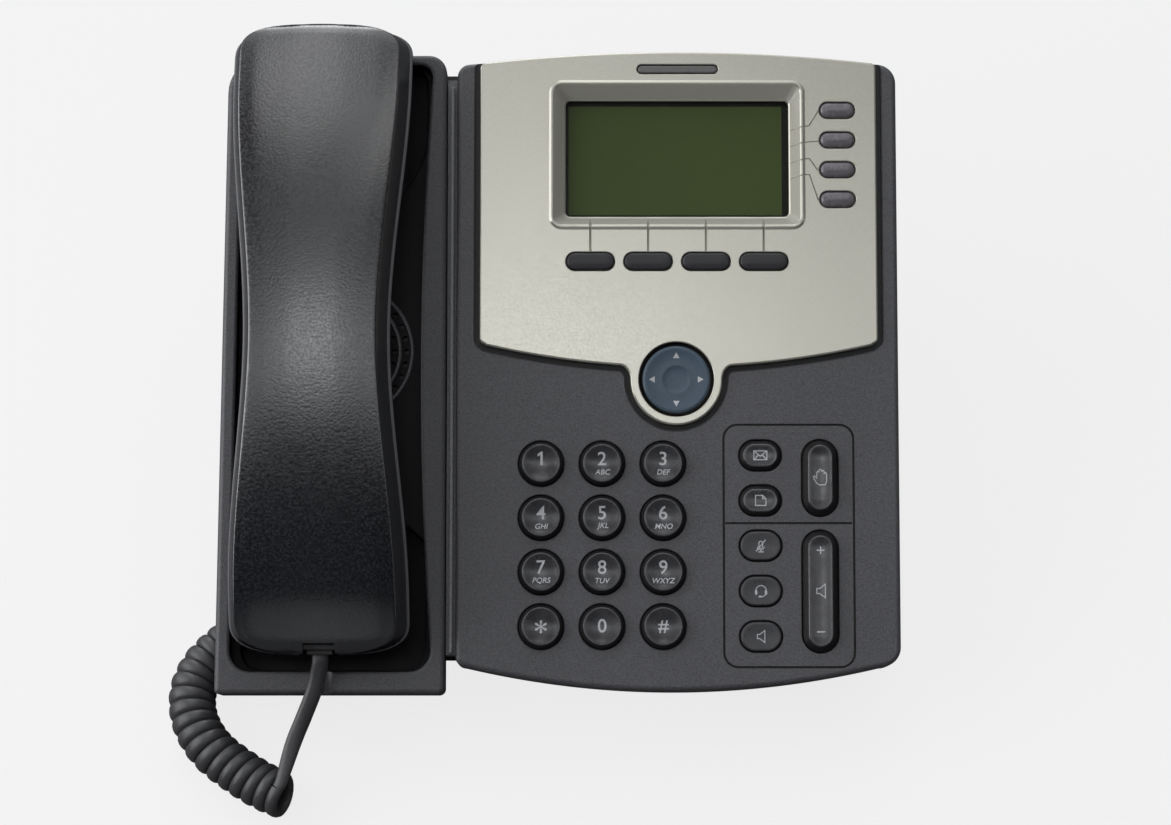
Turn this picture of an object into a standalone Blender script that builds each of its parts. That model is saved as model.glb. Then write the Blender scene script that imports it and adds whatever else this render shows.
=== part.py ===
"""Desk telephone: sloping console, side cradle with handset, clip-on stand and curly cord.

Metres, +Z up, the user sits on -Y. The face has its own axes: u runs right, v runs up
the slope and w points out of the face, with w = 0 on the console deck.
"""

import math

import bmesh
import bpy
from mathutils import Vector

# Stance
FACE_TILT = math.radians(25.0)
FACE_RISE = 0.0265

# Fits
SEAT = 0.0003
SLIDE = 0.0003

# Body shells
WIDTH = 0.212
CRADLE_WIDTH = 0.071
GROOVE_WIDTH = 0.0034
DRAWN_CONSOLE = 0.1376
SKIRT_DEPTH = 0.016
BODY_DEPTH = 0.030
WALL = 0.002
DECK_T = 0.003
SHELL_EDGE = 0.0012
LIP_EDGE = 0.0006
HOLE_EDGE = 0.0003

# Cradle plan, with places across measured from the cradle's left edge
CRADLE_FRONT = -0.0006
CRADLE_BACK = 0.1998
CRADLE_TAPER = 0.0024
CRADLE_CORNERS = (0.0015, 0.002, 0.0056, 0.012)
RIM_LEFT = 0.0046
RIM_RIGHT = 0.0043
OPENING_FRONT = 0.0063
OPENING_BACK = 0.1966
OPENING_BOW = 0.003
OPENING_CORNERS = (0.0065, 0.0065, 0.004, 0.009)
FLOOR_DEPTH = 0.007
POCKET_DEPTH = 0.012
POCKET_LEDGE = 0.0006
EAR_POCKET_SHIFT = 0.0009
EAR_POCKET_RADIUS = 0.031
MOUTH_POCKET_BACK = 0.047
MOUTH_POCKET_BOW = 0.014
NOTCH_WIDTH = 0.006
NOTCH_DEPTH = 0.0012

# Console plan, with places across measured from the left edge of a console DRAWN_CONSOLE wide
CONSOLE_FRONT = 0.0078
CONSOLE_BACK = 0.197
CONSOLE_FRONT_BOW = 0.0075
CONSOLE_BACK_BOW = 0.0028
CONSOLE_CORNERS = (0.003, 0.006, 0.006, 0.004)
FLANGE_DEPTH = 0.004
FLANGE_ENDS = (0.0115, 0.1925)
RIB_WIDTH = 0.0013
RIB_DEPTH = 0.0015
RIB_END_MARGIN = 0.0025

# Faceplate
PLATE_MARGINS = (0.0072, 0.0064)
PLATE_FRONT = 0.108
PLATE_BACK = 0.197
PLATE_FRONT_BOW = 0.0073
PLATE_BACK_BOW = 0.0034
PLATE_CORNER = 0.0018
PLATE_PROUD = 0.0016
PLATE_GAP = 0.0016
PLATE_SEAT_DEPTH = 0.0013
PLATE_EDGE = 0.0006
LOBE_RADIUS = 0.0143
LOBE_FILLET = 0.0032

# Display
FRAME_PLACE = (0.06885, 0.1677)
FRAME_DRAWN = (0.0797, 0.047)
FRAME_CORNER = 0.0038
FRAME_RIM_WIDTH = 0.0012
FRAME_RIM_HEIGHT = 0.0004
WINDOW_PLACE = (0.0689, 0.1671)
WINDOW_DRAWN = (0.070, 0.0368)
WINDOW_CORNER = 0.0015
WINDOW_SILL = 0.0022
WINDOW_LIP = 0.0008
WINDOW_T = 0.0012
WINDOW_LAP = 0.001
LCD_LAP = 0.003

# Keys
KEY_TRAVEL = 0.0012
FLANGE_T = 0.0015
FLANGE_LAP = 0.0006
MEMBRANE_T = 0.0013
PRESS_MARGIN = 0.0006
DIAL_LEFT = 0.0264
DIAL_FRONT = 0.0201
DIAL_PITCH = (0.0189, 0.01685)
DIAL_HOLE = 0.0144
DIAL_TOP = 0.0118
DIAL_PROUD = 0.0024
DIAL_DISH = (0.0034, 0.0004)
DIAL_NAMES = (("star", "0", "hash"), ("7", "8", "9"), ("4", "5", "6"), ("1", "2", "3"))
SOFT_LEFT = 0.04167
SOFT_PITCH = 0.01805
SOFT_V = 0.1339
SOFT_DRAWN = (0.0154, 0.0059)
LINE_LEFT = 0.119
LINE_FRONT = 0.1535
LINE_PITCH = 0.00943
LINE_HOLE = (0.0114, 0.0054)
PLATE_KEY_PROUD = 0.0007
STEM_RADIUS = 0.0015
SIDE_KEY_TRAVEL = 0.0008
FUNCTION_LEFT = 0.0944
FUNCTION_FRONT = 0.01705
FUNCTION_PITCH = 0.01404
FUNCTION_HOLE = (0.0136, 0.010)
FUNCTION_NAMES = ("speaker", "headset", "mute", "setup", "message")
FUNCTION_STEP = 0.0011
FUNCTION_PROUD = 0.0010
FLUSH_PROUD = 0.0006
HOLD_DRAWN = (0.1129, 0.0662)
HOLD_HOLE = (0.0115, 0.0242)
VOLUME_DRAWN = (0.1128, 0.031)
VOLUME_HOLE = (0.0115, 0.0383)
TALL_STEP = 0.0016
TALL_PROUD = 0.0024
VOLUME_PIVOT_DEPTH = 0.004
ROCK_ROOM = 0.0012
ROCK_FLANGE_T = 0.0008
LAMP_DRAWN = (0.069, 0.1949)
LAMP_HOLE = (0.0255, 0.00305)

# Navigation pad
NAV_DRAWN = (0.0684, 0.0969)
NAV_HOLE_RADIUS = 0.0117
NAV_GAP = 0.0004
NAV_FLANGE = 0.0011
NAV_PIVOT_DEPTH = 0.0028
NAV_DIMPLE_RADIUS = 0.0036
NAV_DIMPLE_DEPTH = 0.0009
NAV_POST_RADIUS = 0.003
NAV_POST_TOP = 0.0033

# Board and sockets
BOARD_T = 0.0016
BOARD_MARGIN = 0.0055
POST_RADIUS = 0.003
POST_INSET = 0.0062
NETWORK_LEFT = 0.0681
NETWORK_SIZE = (0.033, 0.0213, 0.0135)
NETWORK_MOUTH = (0.0117, 0.0085, 0.0125)
NETWORK_PORT_PITCH = 0.0155
POWER_LEFT = 0.1026
POWER_SIZE = (0.009, 0.014, 0.011)
POWER_BORE = (0.0032, 0.009)
POWER_PIN = (0.0010, 0.007)
CORD_JACK_SIZE = (0.0114, 0.014, 0.0092)
CORD_JACK_MOUTH = (0.0083, 0.0066, 0.0125)
CORD_PLUG_LENGTH = 0.0135
BASE_JACK_INSET = 0.0133
HEADSET_V = 0.060
HEADSET_DEPTH = 0.009
HEADSET_RADIUS = 0.0032
HEADSET_BORE = (0.0013, 0.0037)
HEADSET_LENGTH = 0.0048

# Rear cover
REAR_PLATE_T = 0.002
REAR_INSET = 0.0006
TRAY_MARGIN = 0.0045
TRAY_DRAFT = 0.0025
TRAY_FRONT = 0.012
BAY_BACK = 0.075
TRAY_STEP = 0.0026
TRAY_CORNER = 0.004
WELL_FRONT = 0.084
WELL_BACK = 0.120
WELL_MARGINS = (0.0048, 0.014)
WELL_DEPTH = 0.012
VENT_COUNT = 9
VENT_SIZE = (0.024, 0.002)
VENT_PITCH = 0.0045
VENT_DRAWN = (0.0516, 0.060)
KEYHOLE_INSETS = (0.024, 0.046)
KEYHOLE_V = 0.066
KEYHOLE_HEAD = 0.005
KEYHOLE_SLOT = (0.0042, 0.009)

# Feet and stand
PAD_T = 0.0012
PAD_SIZE = (0.022, 0.0085)
FOOT_MARGIN = 0.003
FOOT_INSETS = {"left": (0.030, 0.0035), "right": (0.028, 0.0135)}
STAND_T = 0.003
STAND_HALF = 0.062
STAND_FRONT = 0.132
STAND_BACK = 0.184
STAND_FOOT_LENGTH = 0.026
STAND_FOOT_BACK = 0.1865
STAND_WINDOW_MARGIN = 0.014
CLIP_SIZE = (0.012, 0.0022, 0.0045)
CLIP_V = 0.160
CLIP_U = 0.040

# Loudspeaker and hook switch
GRILLE_INSET = (0.0391, 0.1067)
GRILLE_HOLE_RADIUS = 0.0013
GRILLE_RING_PITCH = 0.0058
GRILLE_RINGS = 3
GRILLE_RING_HOLES = 6
SPEAKER_RADIUS = 0.0225
SPEAKER_RIM_T = 0.0022
SPEAKER_MAGNET_RADIUS = 0.011
SPEAKER_DEPTH = 0.0112
HOOK_V = 0.178
HOOK_SLOT = (0.0118, 0.005)
HOOK_TRAVEL = 0.004
HOOK_FLANGE = 0.0014
SWITCH_SIZE = (0.013, 0.0065)

# Handset
HANDSET_INSET = 0.0331
HANDSET_V = 0.109
HANDSET_LENGTH = 0.196
HANDSET_END_HALF = 0.0278
HANDSET_WAIST_HALF = 0.0226
HANDSET_WAIST_REACH = 0.080
HANDSET_CORNER = 0.012
HANDSET_CREST = 0.028
HANDSET_ARCH = 0.012
HANDSET_SPLIT = 0.0095
HANDSET_TIP_ROUND = (0.004, 0.004)
HANDSET_CHIN_ROUND = (0.020, 0.007)
HANDLE_UNDER = 0.011
HANDLE_ARCH = 0.004
CAP_HALF = 0.0248
CAP_LEAST = 0.13
CAP_SLOPE = 0.012
CAP_END_SLOPE = 0.003
CAP_RIM_CLEAR = 0.001
EAR_CAP = (0.160, 0.192)
EAR_CAP_REACH = (0.0248, 0.018)
MOUTH_CAP = (0.0155, 0.050)
MOUTH_CAP_CENTRE = 0.030
MOUTH_CAP_REACH = (0.028, 0.024)
RECEIVER_RADIUS = 0.015
RECEIVER_T = 0.007
MICROPHONE_RADIUS = 0.0048
MICROPHONE_T = 0.005
MICROPHONE_V = 0.034
HANDSET_JACK_W = 0.005
HANDSET_JACK_SETBACK = 0.0015
SOUND_HOLE_RADIUS = 0.0012
SOUND_HOLE_RING = 0.006

# Handset cord, with routes across measured from the cradle's left edge
WIRE = 0.0025
CURL_OUTER = 0.015
CURL_PITCH = 0.0043
CURL_POINTS = 8
CURL_END_TURN = math.radians(12.0)
COIL_ROUTE = (
    (0.0216, -0.0269, 0.0094),
    (0.0154, -0.0235, 0.0082),
    (0.0078, -0.0184, 0.0077),
    (-0.0015, -0.0106, 0.0077),
    (-0.0073, -0.0008, 0.0077),
    (-0.0086, 0.0095, 0.0077),
    (-0.0053, 0.0188, 0.0077),
    (0.0015, 0.0265, 0.0077),
    (0.0105, 0.0335, 0.0077),
    (0.0205, 0.0410, 0.0077),
    (0.0315, 0.0485, 0.0077),
    (0.0435, 0.0555, 0.0077),
    (0.0560, 0.0615, 0.0077),
    (0.0690, 0.0660, 0.0077),
    (0.0820, 0.0690, 0.0077),
    (0.0950, 0.0710, 0.0077),
)
LEAD_ROUTE = (
    (0.0324, 0.0036, 0.0320),
    (0.0312, -0.0002, 0.0284),
    (0.0278, -0.0070, 0.0230),
    (0.0246, -0.0142, 0.0194),
)
TAIL_ROUTE = (
    (0.0924, 0.0800, 0.0162),
    (0.0918, 0.0858, 0.0198),
    (0.0908, 0.0905, 0.0262),
    (0.0898, 0.0943, 0.0350),
    (0.0883, 0.0965, 0.0440),
    (0.0877, 0.0995, 0.0520),
)

# Facet counts
CORNER_STEPS = 3
ROUND_STEPS = 12
KEY_STEPS = 3
BOW_STEPS = 7

# Levels on the face
CRADLE_LEFT = -WIDTH / 2.0
CRADLE_RIGHT = CRADLE_LEFT + CRADLE_WIDTH
CONSOLE_LEFT = CRADLE_RIGHT + GROOVE_WIDTH
CONSOLE_RIGHT = WIDTH / 2.0
SPREAD = (CONSOLE_RIGHT - CONSOLE_LEFT) / DRAWN_CONSOLE


def across(u):
    """A drawn distance from the console's left edge, spread with the console's width."""
    return CONSOLE_LEFT + u * SPREAD


def spread(size):
    return size[0] * SPREAD, size[1]


OPENING_LEFT = CRADLE_LEFT + RIM_LEFT
OPENING_RIGHT = CRADLE_RIGHT - RIM_RIGHT
HANDSET_U = CRADLE_LEFT + HANDSET_INSET
EAR_POCKET_CENTRE = (HANDSET_U + EAR_POCKET_SHIFT, HOOK_V)
GRILLE_PLACE = (CRADLE_LEFT + GRILLE_INSET[0], GRILLE_INSET[1])
PLATE_LEFT = CONSOLE_LEFT + PLATE_MARGINS[0]
PLATE_RIGHT = CONSOLE_RIGHT - PLATE_MARGINS[1]
FRAME_CENTRE, FRAME_SIZE = (across(FRAME_PLACE[0]), FRAME_PLACE[1]), spread(FRAME_DRAWN)
WINDOW_CENTRE, WINDOW_SIZE = (across(WINDOW_PLACE[0]), WINDOW_PLACE[1]), spread(WINDOW_DRAWN)
SOFT_HOLE = spread(SOFT_DRAWN)
LINE_U = across(LINE_LEFT)
FUNCTION_U = across(FUNCTION_LEFT)
HOLD_PLACE = (across(HOLD_DRAWN[0]), HOLD_DRAWN[1])
VOLUME_PLACE = (across(VOLUME_DRAWN[0]), VOLUME_DRAWN[1])
LAMP_PLACE = (across(LAMP_DRAWN[0]), LAMP_DRAWN[1])
NAV_PLACE = (across(NAV_DRAWN[0]), NAV_DRAWN[1])
NETWORK_U = across(NETWORK_LEFT)
POWER_U = across(POWER_LEFT)
BASE_JACK_U = CONSOLE_LEFT + BASE_JACK_INSET
TRAY_STEP_U = CONSOLE_LEFT + TRAY_STEP
WELL_LEFT, WELL_RIGHT = CONSOLE_LEFT + WELL_MARGINS[0], CONSOLE_RIGHT - WELL_MARGINS[1]
VENT_PLACE = (across(VENT_DRAWN[0]), VENT_DRAWN[1])
KEYHOLE_U = (CRADLE_LEFT + KEYHOLE_INSETS[0], CONSOLE_RIGHT - KEYHOLE_INSETS[1])
FOOT_PLACES = {"left": (CRADLE_LEFT + FOOT_INSETS["left"][0], FOOT_INSETS["left"][1]),
               "right": (CONSOLE_RIGHT - FOOT_INSETS["right"][0], FOOT_INSETS["right"][1])}
PLATE_UNDER = -PLATE_SEAT_DEPTH + SEAT
FRAME_UNDER = -(WINDOW_SILL + WINDOW_LIP)
WINDOW_TOP = FRAME_UNDER - SEAT
WINDOW_UNDER = WINDOW_TOP - WINDOW_T
KEY_FLANGE_TOP = -(DECK_T + SEAT)
KEY_UNDER = KEY_FLANGE_TOP - FLANGE_T
MEMBRANE_TOP = KEY_UNDER - KEY_TRAVEL - PRESS_MARGIN
BOARD_TOP = MEMBRANE_TOP - MEMBRANE_T - SEAT
BOARD_UNDER = BOARD_TOP - BOARD_T
SOCKET_TOP = BOARD_UNDER - SEAT
CRADLE_UNDER = -(POCKET_DEPTH + WALL)
GRILLE_UNDER = -(FLOOR_DEPTH + WALL)
REAR_TOP = -(SKIRT_DEPTH + SEAT)
REAR_PLATE_UNDER = REAR_TOP - REAR_PLATE_T
TRAY_UNDER = -BODY_DEPTH
TRAY_FLOOR = TRAY_UNDER + WALL
CAP_UNDER = -POCKET_DEPTH + SEAT
FOOT_LEVEL = PAD_T + SEAT

for old in list(bpy.data.objects):
    bpy.data.objects.remove(old, do_unlink=True)


def material(name, colour, roughness, metallic=0.0):
    """One Principled finish."""
    made = bpy.data.materials.new(name)
    made.use_nodes = True
    shader = made.node_tree.nodes["Principled BSDF"]
    shader.inputs["Base Color"].default_value = (*colour, 1.0)
    shader.inputs["Roughness"].default_value = roughness
    shader.inputs["Metallic"].default_value = metallic
    return made


CHARCOAL = material("charcoal_plastic", (0.060, 0.060, 0.065), 0.55)
SILVER = material("silver_paint", (0.50, 0.49, 0.45), 0.35, 0.6)
KEY_GREY = material("key_plastic", (0.055, 0.055, 0.060), 0.30)
SOFT_BLACK = material("black_key", (0.020, 0.020, 0.022), 0.35)
LINE_GREY = material("translucent_key", (0.16, 0.145, 0.17), 0.30)
SLATE = material("slate_pad", (0.045, 0.075, 0.105), 0.40)
GLASS = material("display_glass", (0.30, 0.33, 0.28), 0.08)
LCD_GREEN = material("lcd_green", (0.045, 0.065, 0.027), 0.35)
BOARD_GREEN = material("circuit_board", (0.02, 0.10, 0.05), 0.50)
RUBBER = material("rubber", (0.025, 0.025, 0.025), 0.85)
DARK_STEEL = material("dark_steel", (0.18, 0.18, 0.19), 0.35, 0.9)
SOCKET_BLACK = material("socket_plastic", (0.015, 0.015, 0.016), 0.45)
CLEAR_PLUG = material("plug_plastic", (0.25, 0.25, 0.25), 0.15)
CORD_BLACK = material("cord_vinyl", (0.020, 0.020, 0.021), 0.50)


def empty(name, parent=None, location=(0.0, 0.0, 0.0), rotation=(0.0, 0.0, 0.0)):
    """A guide that carries pieces."""
    made = bpy.data.objects.new(name, None)
    bpy.context.scene.collection.objects.link(made)
    made.parent = parent
    made.location = location
    made.rotation_euler = rotation
    return made


PHONE = empty("phone")
FACE = empty("face", PHONE, (0.0, 0.0, FACE_RISE), (FACE_TILT, 0.0, 0.0))
HANDSET = empty("handset", FACE, (HANDSET_U, HANDSET_V, 0.0))


def on_desk(v, w):
    """The desk frame's y and z of a place on the face's v and w."""
    y = v * math.cos(FACE_TILT) - w * math.sin(FACE_TILT)
    z = v * math.sin(FACE_TILT) + w * math.cos(FACE_TILT) + FACE_RISE
    return y, z


def level_on_face(v, z):
    """The w at which the desk height z lies for a given v."""
    return (z - FACE_RISE - v * math.sin(FACE_TILT)) / math.cos(FACE_TILT)


def arc(centre, radius, start, end, steps):
    """Points from one angle to another, both included."""
    turn = (end - start) / steps
    return [Vector((centre[0] + radius * math.cos(start + turn * i),
                    centre[1] + radius * math.sin(start + turn * i))) for i in range(steps + 1)]


def circle(radius, steps=ROUND_STEPS, centre=(0.0, 0.0)):
    return arc(centre, radius, 0.0, math.tau, steps)[:-1]


def outline(corners, steps=CORNER_STEPS, bow_steps=BOW_STEPS):
    """Closed anticlockwise outline; each corner is (u, v, radius, outward bow of its next edge)."""
    rounds = []
    for i, (u, v, radius, _) in enumerate(corners):
        here = Vector((u, v))
        back = (Vector(corners[i - 1][:2]) - here).normalized()
        ahead = (Vector(corners[(i + 1) % len(corners)][:2]) - here).normalized()
        half = back.angle(ahead) / 2.0
        centre = here + (back + ahead).normalized() * (radius / math.sin(half))
        first = here + back * (radius / math.tan(half)) - centre
        start = math.atan2(first.y, first.x)
        turn = math.copysign(math.pi - 2.0 * half, ahead.cross(back))
        rounds.append(arc(centre, radius, start, start + turn, steps))
    points = []
    for i, corner in enumerate(rounds):
        points += corner
        bow = corners[i][3]
        if bow:
            a, b = corner[-1], rounds[(i + 1) % len(rounds)][0]
            outward = Vector((b.y - a.y, a.x - b.x)).normalized()
            for k in range(1, bow_steps):
                t = k / bow_steps
                points.append(a.lerp(b, t) + outward * bow * 4.0 * t * (1.0 - t))
    return points


def rectangle(centre, size, corner, steps=CORNER_STEPS):
    """Rounded rectangle about a centre."""
    half_u, half_v = size[0] / 2.0, size[1] / 2.0
    return outline([(centre[0] + su * half_u, centre[1] + sv * half_v, corner, 0.0)
                    for su, sv in ((-1, -1), (1, -1), (1, 1), (-1, 1))], steps)


def stadium(size, steps=KEY_STEPS, centre=(0.0, 0.0)):
    """Slot shape with half-round ends along its longer side."""
    radius = min(size) / 2.0
    reach = max(size) / 2.0 - radius
    along, start = ((reach, 0.0), -math.pi / 2.0) if size[0] > size[1] else ((0.0, reach), 0.0)
    far, near = Vector(centre) + Vector(along), Vector(centre) - Vector(along)
    return (arc(far, radius, start, start + math.pi, 2 * steps)
            + arc(near, radius, start + math.pi, start + math.tau, 2 * steps))


def inset(loop, distance):
    """The same outline drawn inwards, or outwards for a negative distance."""
    moved = []
    for i, here in enumerate(loop):
        back = (here - loop[i - 1]).normalized()
        ahead = (loop[(i + 1) % len(loop)] - here).normalized()
        side = Vector((-back.y - ahead.y, back.x + ahead.x)).normalized()
        stretch = max(side.dot(Vector((-ahead.y, ahead.x))), 0.5)
        moved.append(here + side * (distance / stretch))
    return moved


def shifted(loop, place):
    return [point + Vector(place) for point in loop]


class Skin:
    """Collects rings of points and the faces between them into one closed surface."""

    def __init__(self):
        self.mesh = bmesh.new()

    def ring(self, loop, w):
        return [self.mesh.verts.new((point.x, point.y, w)) for point in loop]

    def section(self, points):
        return [self.mesh.verts.new(point) for point in points]

    def wall(self, rings):
        for lower, upper in zip(rings, rings[1:]):
            for i in range(len(lower)):
                self.mesh.faces.new((lower[i - 1], lower[i], upper[i], upper[i - 1]))

    def cap(self, ring):
        self.mesh.faces.new(ring)

    def fill(self, rings):
        """A flat face bounded by the first ring, with the others as holes in it."""
        edges = []
        for ring in rings:
            for i in range(len(ring)):
                pair = (ring[i - 1], ring[i])
                edges.append(self.mesh.edges.get(pair) or self.mesh.edges.new(pair))
        bmesh.ops.triangle_fill(self.mesh, use_beauty=True, use_dissolve=False, edges=edges)

    def stack(self, levels):
        """Closed solid through (loop, w) levels."""
        rings = [self.ring(loop, w) for loop, w in levels]
        self.wall(rings)
        self.cap(rings[0])
        self.cap(rings[-1])
        return self

    def place(self, name, finish, parent=FACE, location=(0.0, 0.0, 0.0), rotation=(0.0, 0.0, 0.0)):
        """The finished object, shaded smooth except at its real edges."""
        bmesh.ops.recalc_face_normals(self.mesh, faces=self.mesh.faces)
        data = bpy.data.meshes.new(name)
        self.mesh.to_mesh(data)
        self.mesh.free()
        made = bpy.data.objects.new(name, data)
        bpy.context.scene.collection.objects.link(made)
        made.parent = parent
        made.location = location
        made.rotation_euler = rotation
        if finish:
            data.materials.append(finish)
        shade(made)
        return made


def shade(piece):
    piece.data.shade_smooth()
    piece.data.set_sharp_from_angle(angle=math.radians(35.0))


def prism(loop, low, high):
    return Skin().stack([(loop, low), (loop, high)])


def shape_with(piece, skin, operation, location=(0.0, 0.0, 0.0), rotation=(0.0, 0.0, 0.0)):
    """Joins or cuts a piece with another solid in the same parent's frame."""
    tool = skin.place("tool", None, piece.parent, location, rotation)
    change = piece.modifiers.new("change", "BOOLEAN")
    change.operation = operation
    change.object = tool
    change.solver = "EXACT"
    bpy.context.view_layer.update()
    graph = bpy.context.evaluated_depsgraph_get()
    result = bpy.data.meshes.new_from_object(piece.evaluated_get(graph))
    piece.modifiers.clear()
    piece.data = result
    bpy.data.objects.remove(tool, do_unlink=True)
    shade(piece)


def cut(piece, skin, **place):
    shape_with(piece, skin, "DIFFERENCE", **place)


def join(piece, skin, **place):
    shape_with(piece, skin, "UNION", **place)


def block(low, high):
    """A plain block between two corners."""
    size = (high[0] - low[0], high[1] - low[1])
    centre = ((high[0] + low[0]) / 2.0, (high[1] + low[1]) / 2.0)
    half_u, half_v = size[0] / 2.0, size[1] / 2.0
    loop = [Vector((centre[0] + su * half_u, centre[1] + sv * half_v))
            for su, sv in ((-1, -1), (1, -1), (1, 1), (-1, 1))]
    return prism(loop, low[2], high[2])


def dial_places():
    """Name and place of each dial key, from the front row back."""
    for row, names in enumerate(DIAL_NAMES):
        for column, name in enumerate(names):
            yield name, (across(DIAL_LEFT + column * DIAL_PITCH[0]), DIAL_FRONT + row * DIAL_PITCH[1])


def function_places():
    for row, name in enumerate(FUNCTION_NAMES):
        yield name, (FUNCTION_U, FUNCTION_FRONT + row * FUNCTION_PITCH)


def soft_places():
    return [(across(SOFT_LEFT + i * SOFT_PITCH), SOFT_V) for i in range(4)]


def line_places():
    """From the back row to the front row."""
    return [(LINE_U, LINE_FRONT + i * LINE_PITCH) for i in reversed(range(4))]


def console_loop():
    corners = CONSOLE_CORNERS
    return outline([
        (CONSOLE_LEFT, CONSOLE_FRONT, corners[0], CONSOLE_FRONT_BOW),
        (CONSOLE_RIGHT, CONSOLE_FRONT, corners[1], 0.0),
        (CONSOLE_RIGHT, CONSOLE_BACK, corners[2], CONSOLE_BACK_BOW),
        (CONSOLE_LEFT, CONSOLE_BACK, corners[3], 0.0)])


def cradle_loop():
    corners = CRADLE_CORNERS
    return outline([
        (CRADLE_LEFT, CRADLE_FRONT, corners[0], 0.0),
        (CRADLE_RIGHT, CRADLE_FRONT, corners[1], 0.0),
        (CRADLE_RIGHT, CRADLE_BACK, corners[2], 0.0),
        (CRADLE_LEFT + CRADLE_TAPER, CRADLE_BACK, corners[3], 0.0)])


def opening_loop():
    corners = OPENING_CORNERS
    return outline([
        (OPENING_LEFT, OPENING_FRONT, corners[0], 0.0),
        (OPENING_RIGHT, OPENING_FRONT, corners[1], -OPENING_BOW),
        (OPENING_RIGHT, OPENING_BACK, corners[2], 0.0),
        (OPENING_LEFT + CRADLE_TAPER, OPENING_BACK, corners[3], 0.0)])


def pocket_sides():
    """Left and right limits that clear the opening's bowed and tapered sides."""
    left = OPENING_LEFT + CRADLE_TAPER + POCKET_LEDGE
    return left, OPENING_RIGHT - OPENING_BOW * 0.45 - POCKET_LEDGE


def ear_pocket_loop():
    """A circle towards the handle, cut off by the sides and the back of the opening."""
    left, right = pocket_sides()
    back = OPENING_BACK - POCKET_LEDGE
    u, v = EAR_POCKET_CENTRE
    start = math.tau - math.acos((left - u) / EAR_POCKET_RADIUS)
    end = math.tau - math.acos((right - u) / EAR_POCKET_RADIUS)
    corners = outline([
        (left, v, POCKET_LEDGE, 0.0), (right, v, POCKET_LEDGE, 0.0),
        (right, back, OPENING_CORNERS[2], 0.0), (left, back, OPENING_CORNERS[3], 0.0)])
    return arc((u, v), EAR_POCKET_RADIUS, start, end, ROUND_STEPS) + corners[2 * (CORNER_STEPS + 1):]


def mouth_pocket_loop():
    left, right = pocket_sides()
    front = OPENING_FRONT + POCKET_LEDGE
    return outline([
        (left, front, OPENING_CORNERS[0], 0.0),
        (right, front, OPENING_CORNERS[1], 0.0),
        (right, MOUTH_POCKET_BACK, POCKET_LEDGE, MOUTH_POCKET_BOW),
        (left, MOUTH_POCKET_BACK, POCKET_LEDGE, 0.0)])


def plate_loop():
    """Faceplate outline, whose front edge swells round the navigation pad."""
    half = (PLATE_RIGHT - PLATE_LEFT) / 2.0
    middle = (PLATE_RIGHT + PLATE_LEFT) / 2.0

    def front_edge(u):
        across = (u - middle) / half
        return Vector((u, PLATE_FRONT - PLATE_FRONT_BOW * (1.0 - across * across)))

    rise = front_edge(NAV_PLACE[0]).y - NAV_PLACE[1]
    reach = math.sqrt(LOBE_RADIUS ** 2 - rise ** 2)
    crossing = math.asin(rise / LOBE_RADIUS)
    easing = LOBE_FILLET / LOBE_RADIUS
    points = []
    for side in (-1.0, 1.0):
        end = NAV_PLACE[0] + side * (reach + LOBE_FILLET)
        far = middle + side * (half - PLATE_CORNER)
        run = [front_edge(far + (end - far) * k / BOW_STEPS) for k in range(BOW_STEPS + 1)]
        corner_angle = math.pi if side < 0.0 else math.tau
        corner = arc((far, PLATE_FRONT + PLATE_CORNER), PLATE_CORNER,
                     corner_angle, corner_angle - side * math.pi / 2.0, CORNER_STEPS)
        points.append(corner[:-1] + run)
    lobe = arc(NAV_PLACE, LOBE_RADIUS, math.pi - crossing + easing,
               math.tau + crossing - easing, ROUND_STEPS)
    back = outline([
        (PLATE_RIGHT, PLATE_FRONT, PLATE_CORNER, 0.0),
        (PLATE_RIGHT, PLATE_BACK, PLATE_CORNER, PLATE_BACK_BOW),
        (PLATE_LEFT, PLATE_BACK, PLATE_CORNER, 0.0),
        (PLATE_LEFT, PLATE_FRONT, PLATE_CORNER, 0.0)])
    back_run = back[CORNER_STEPS + 1:-(CORNER_STEPS + 1)]
    return points[0] + lobe + points[1][::-1] + back_run


def frame_loop(shrink=0.0):
    return inset(rectangle(FRAME_CENTRE, FRAME_SIZE, FRAME_CORNER), shrink)


def window_loop(grow=0.0):
    return inset(rectangle(WINDOW_CENTRE, WINDOW_SIZE, WINDOW_CORNER), -grow)


def deck_holes():
    """Every hole through the console deck."""
    room = FLANGE_LAP + 2.0 * SLIDE
    holes = [circle(DIAL_HOLE / 2.0, centre=place) for _, place in dial_places()]
    holes += [stadium(FUNCTION_HOLE, centre=place) for _, place in function_places()]
    holes += [stadium(HOLD_HOLE, centre=HOLD_PLACE), stadium(VOLUME_HOLE, centre=VOLUME_PLACE)]
    holes.append(circle(NAV_HOLE_RADIUS + NAV_FLANGE + 2.0 * NAV_GAP, 2 * ROUND_STEPS, NAV_PLACE))
    holes.append(inset(stadium(LAMP_HOLE, centre=LAMP_PLACE), -SLIDE))
    holes.append(frame_loop(-(2.0 * SEAT + SLIDE)))
    soft = soft_places()
    soft_size = (soft[-1][0] - soft[0][0] + SOFT_HOLE[0] + 2.0 * room, SOFT_HOLE[1] + 2.0 * room)
    holes.append(rectangle(((soft[0][0] + soft[-1][0]) / 2.0, SOFT_V), soft_size, WALL))
    line = line_places()
    line_size = (LINE_HOLE[0] + 2.0 * room, line[0][1] - line[-1][1] + LINE_HOLE[1] + 2.0 * room)
    holes.append(rectangle((LINE_U, (line[0][1] + line[-1][1]) / 2.0), line_size, WALL))
    return holes


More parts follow.
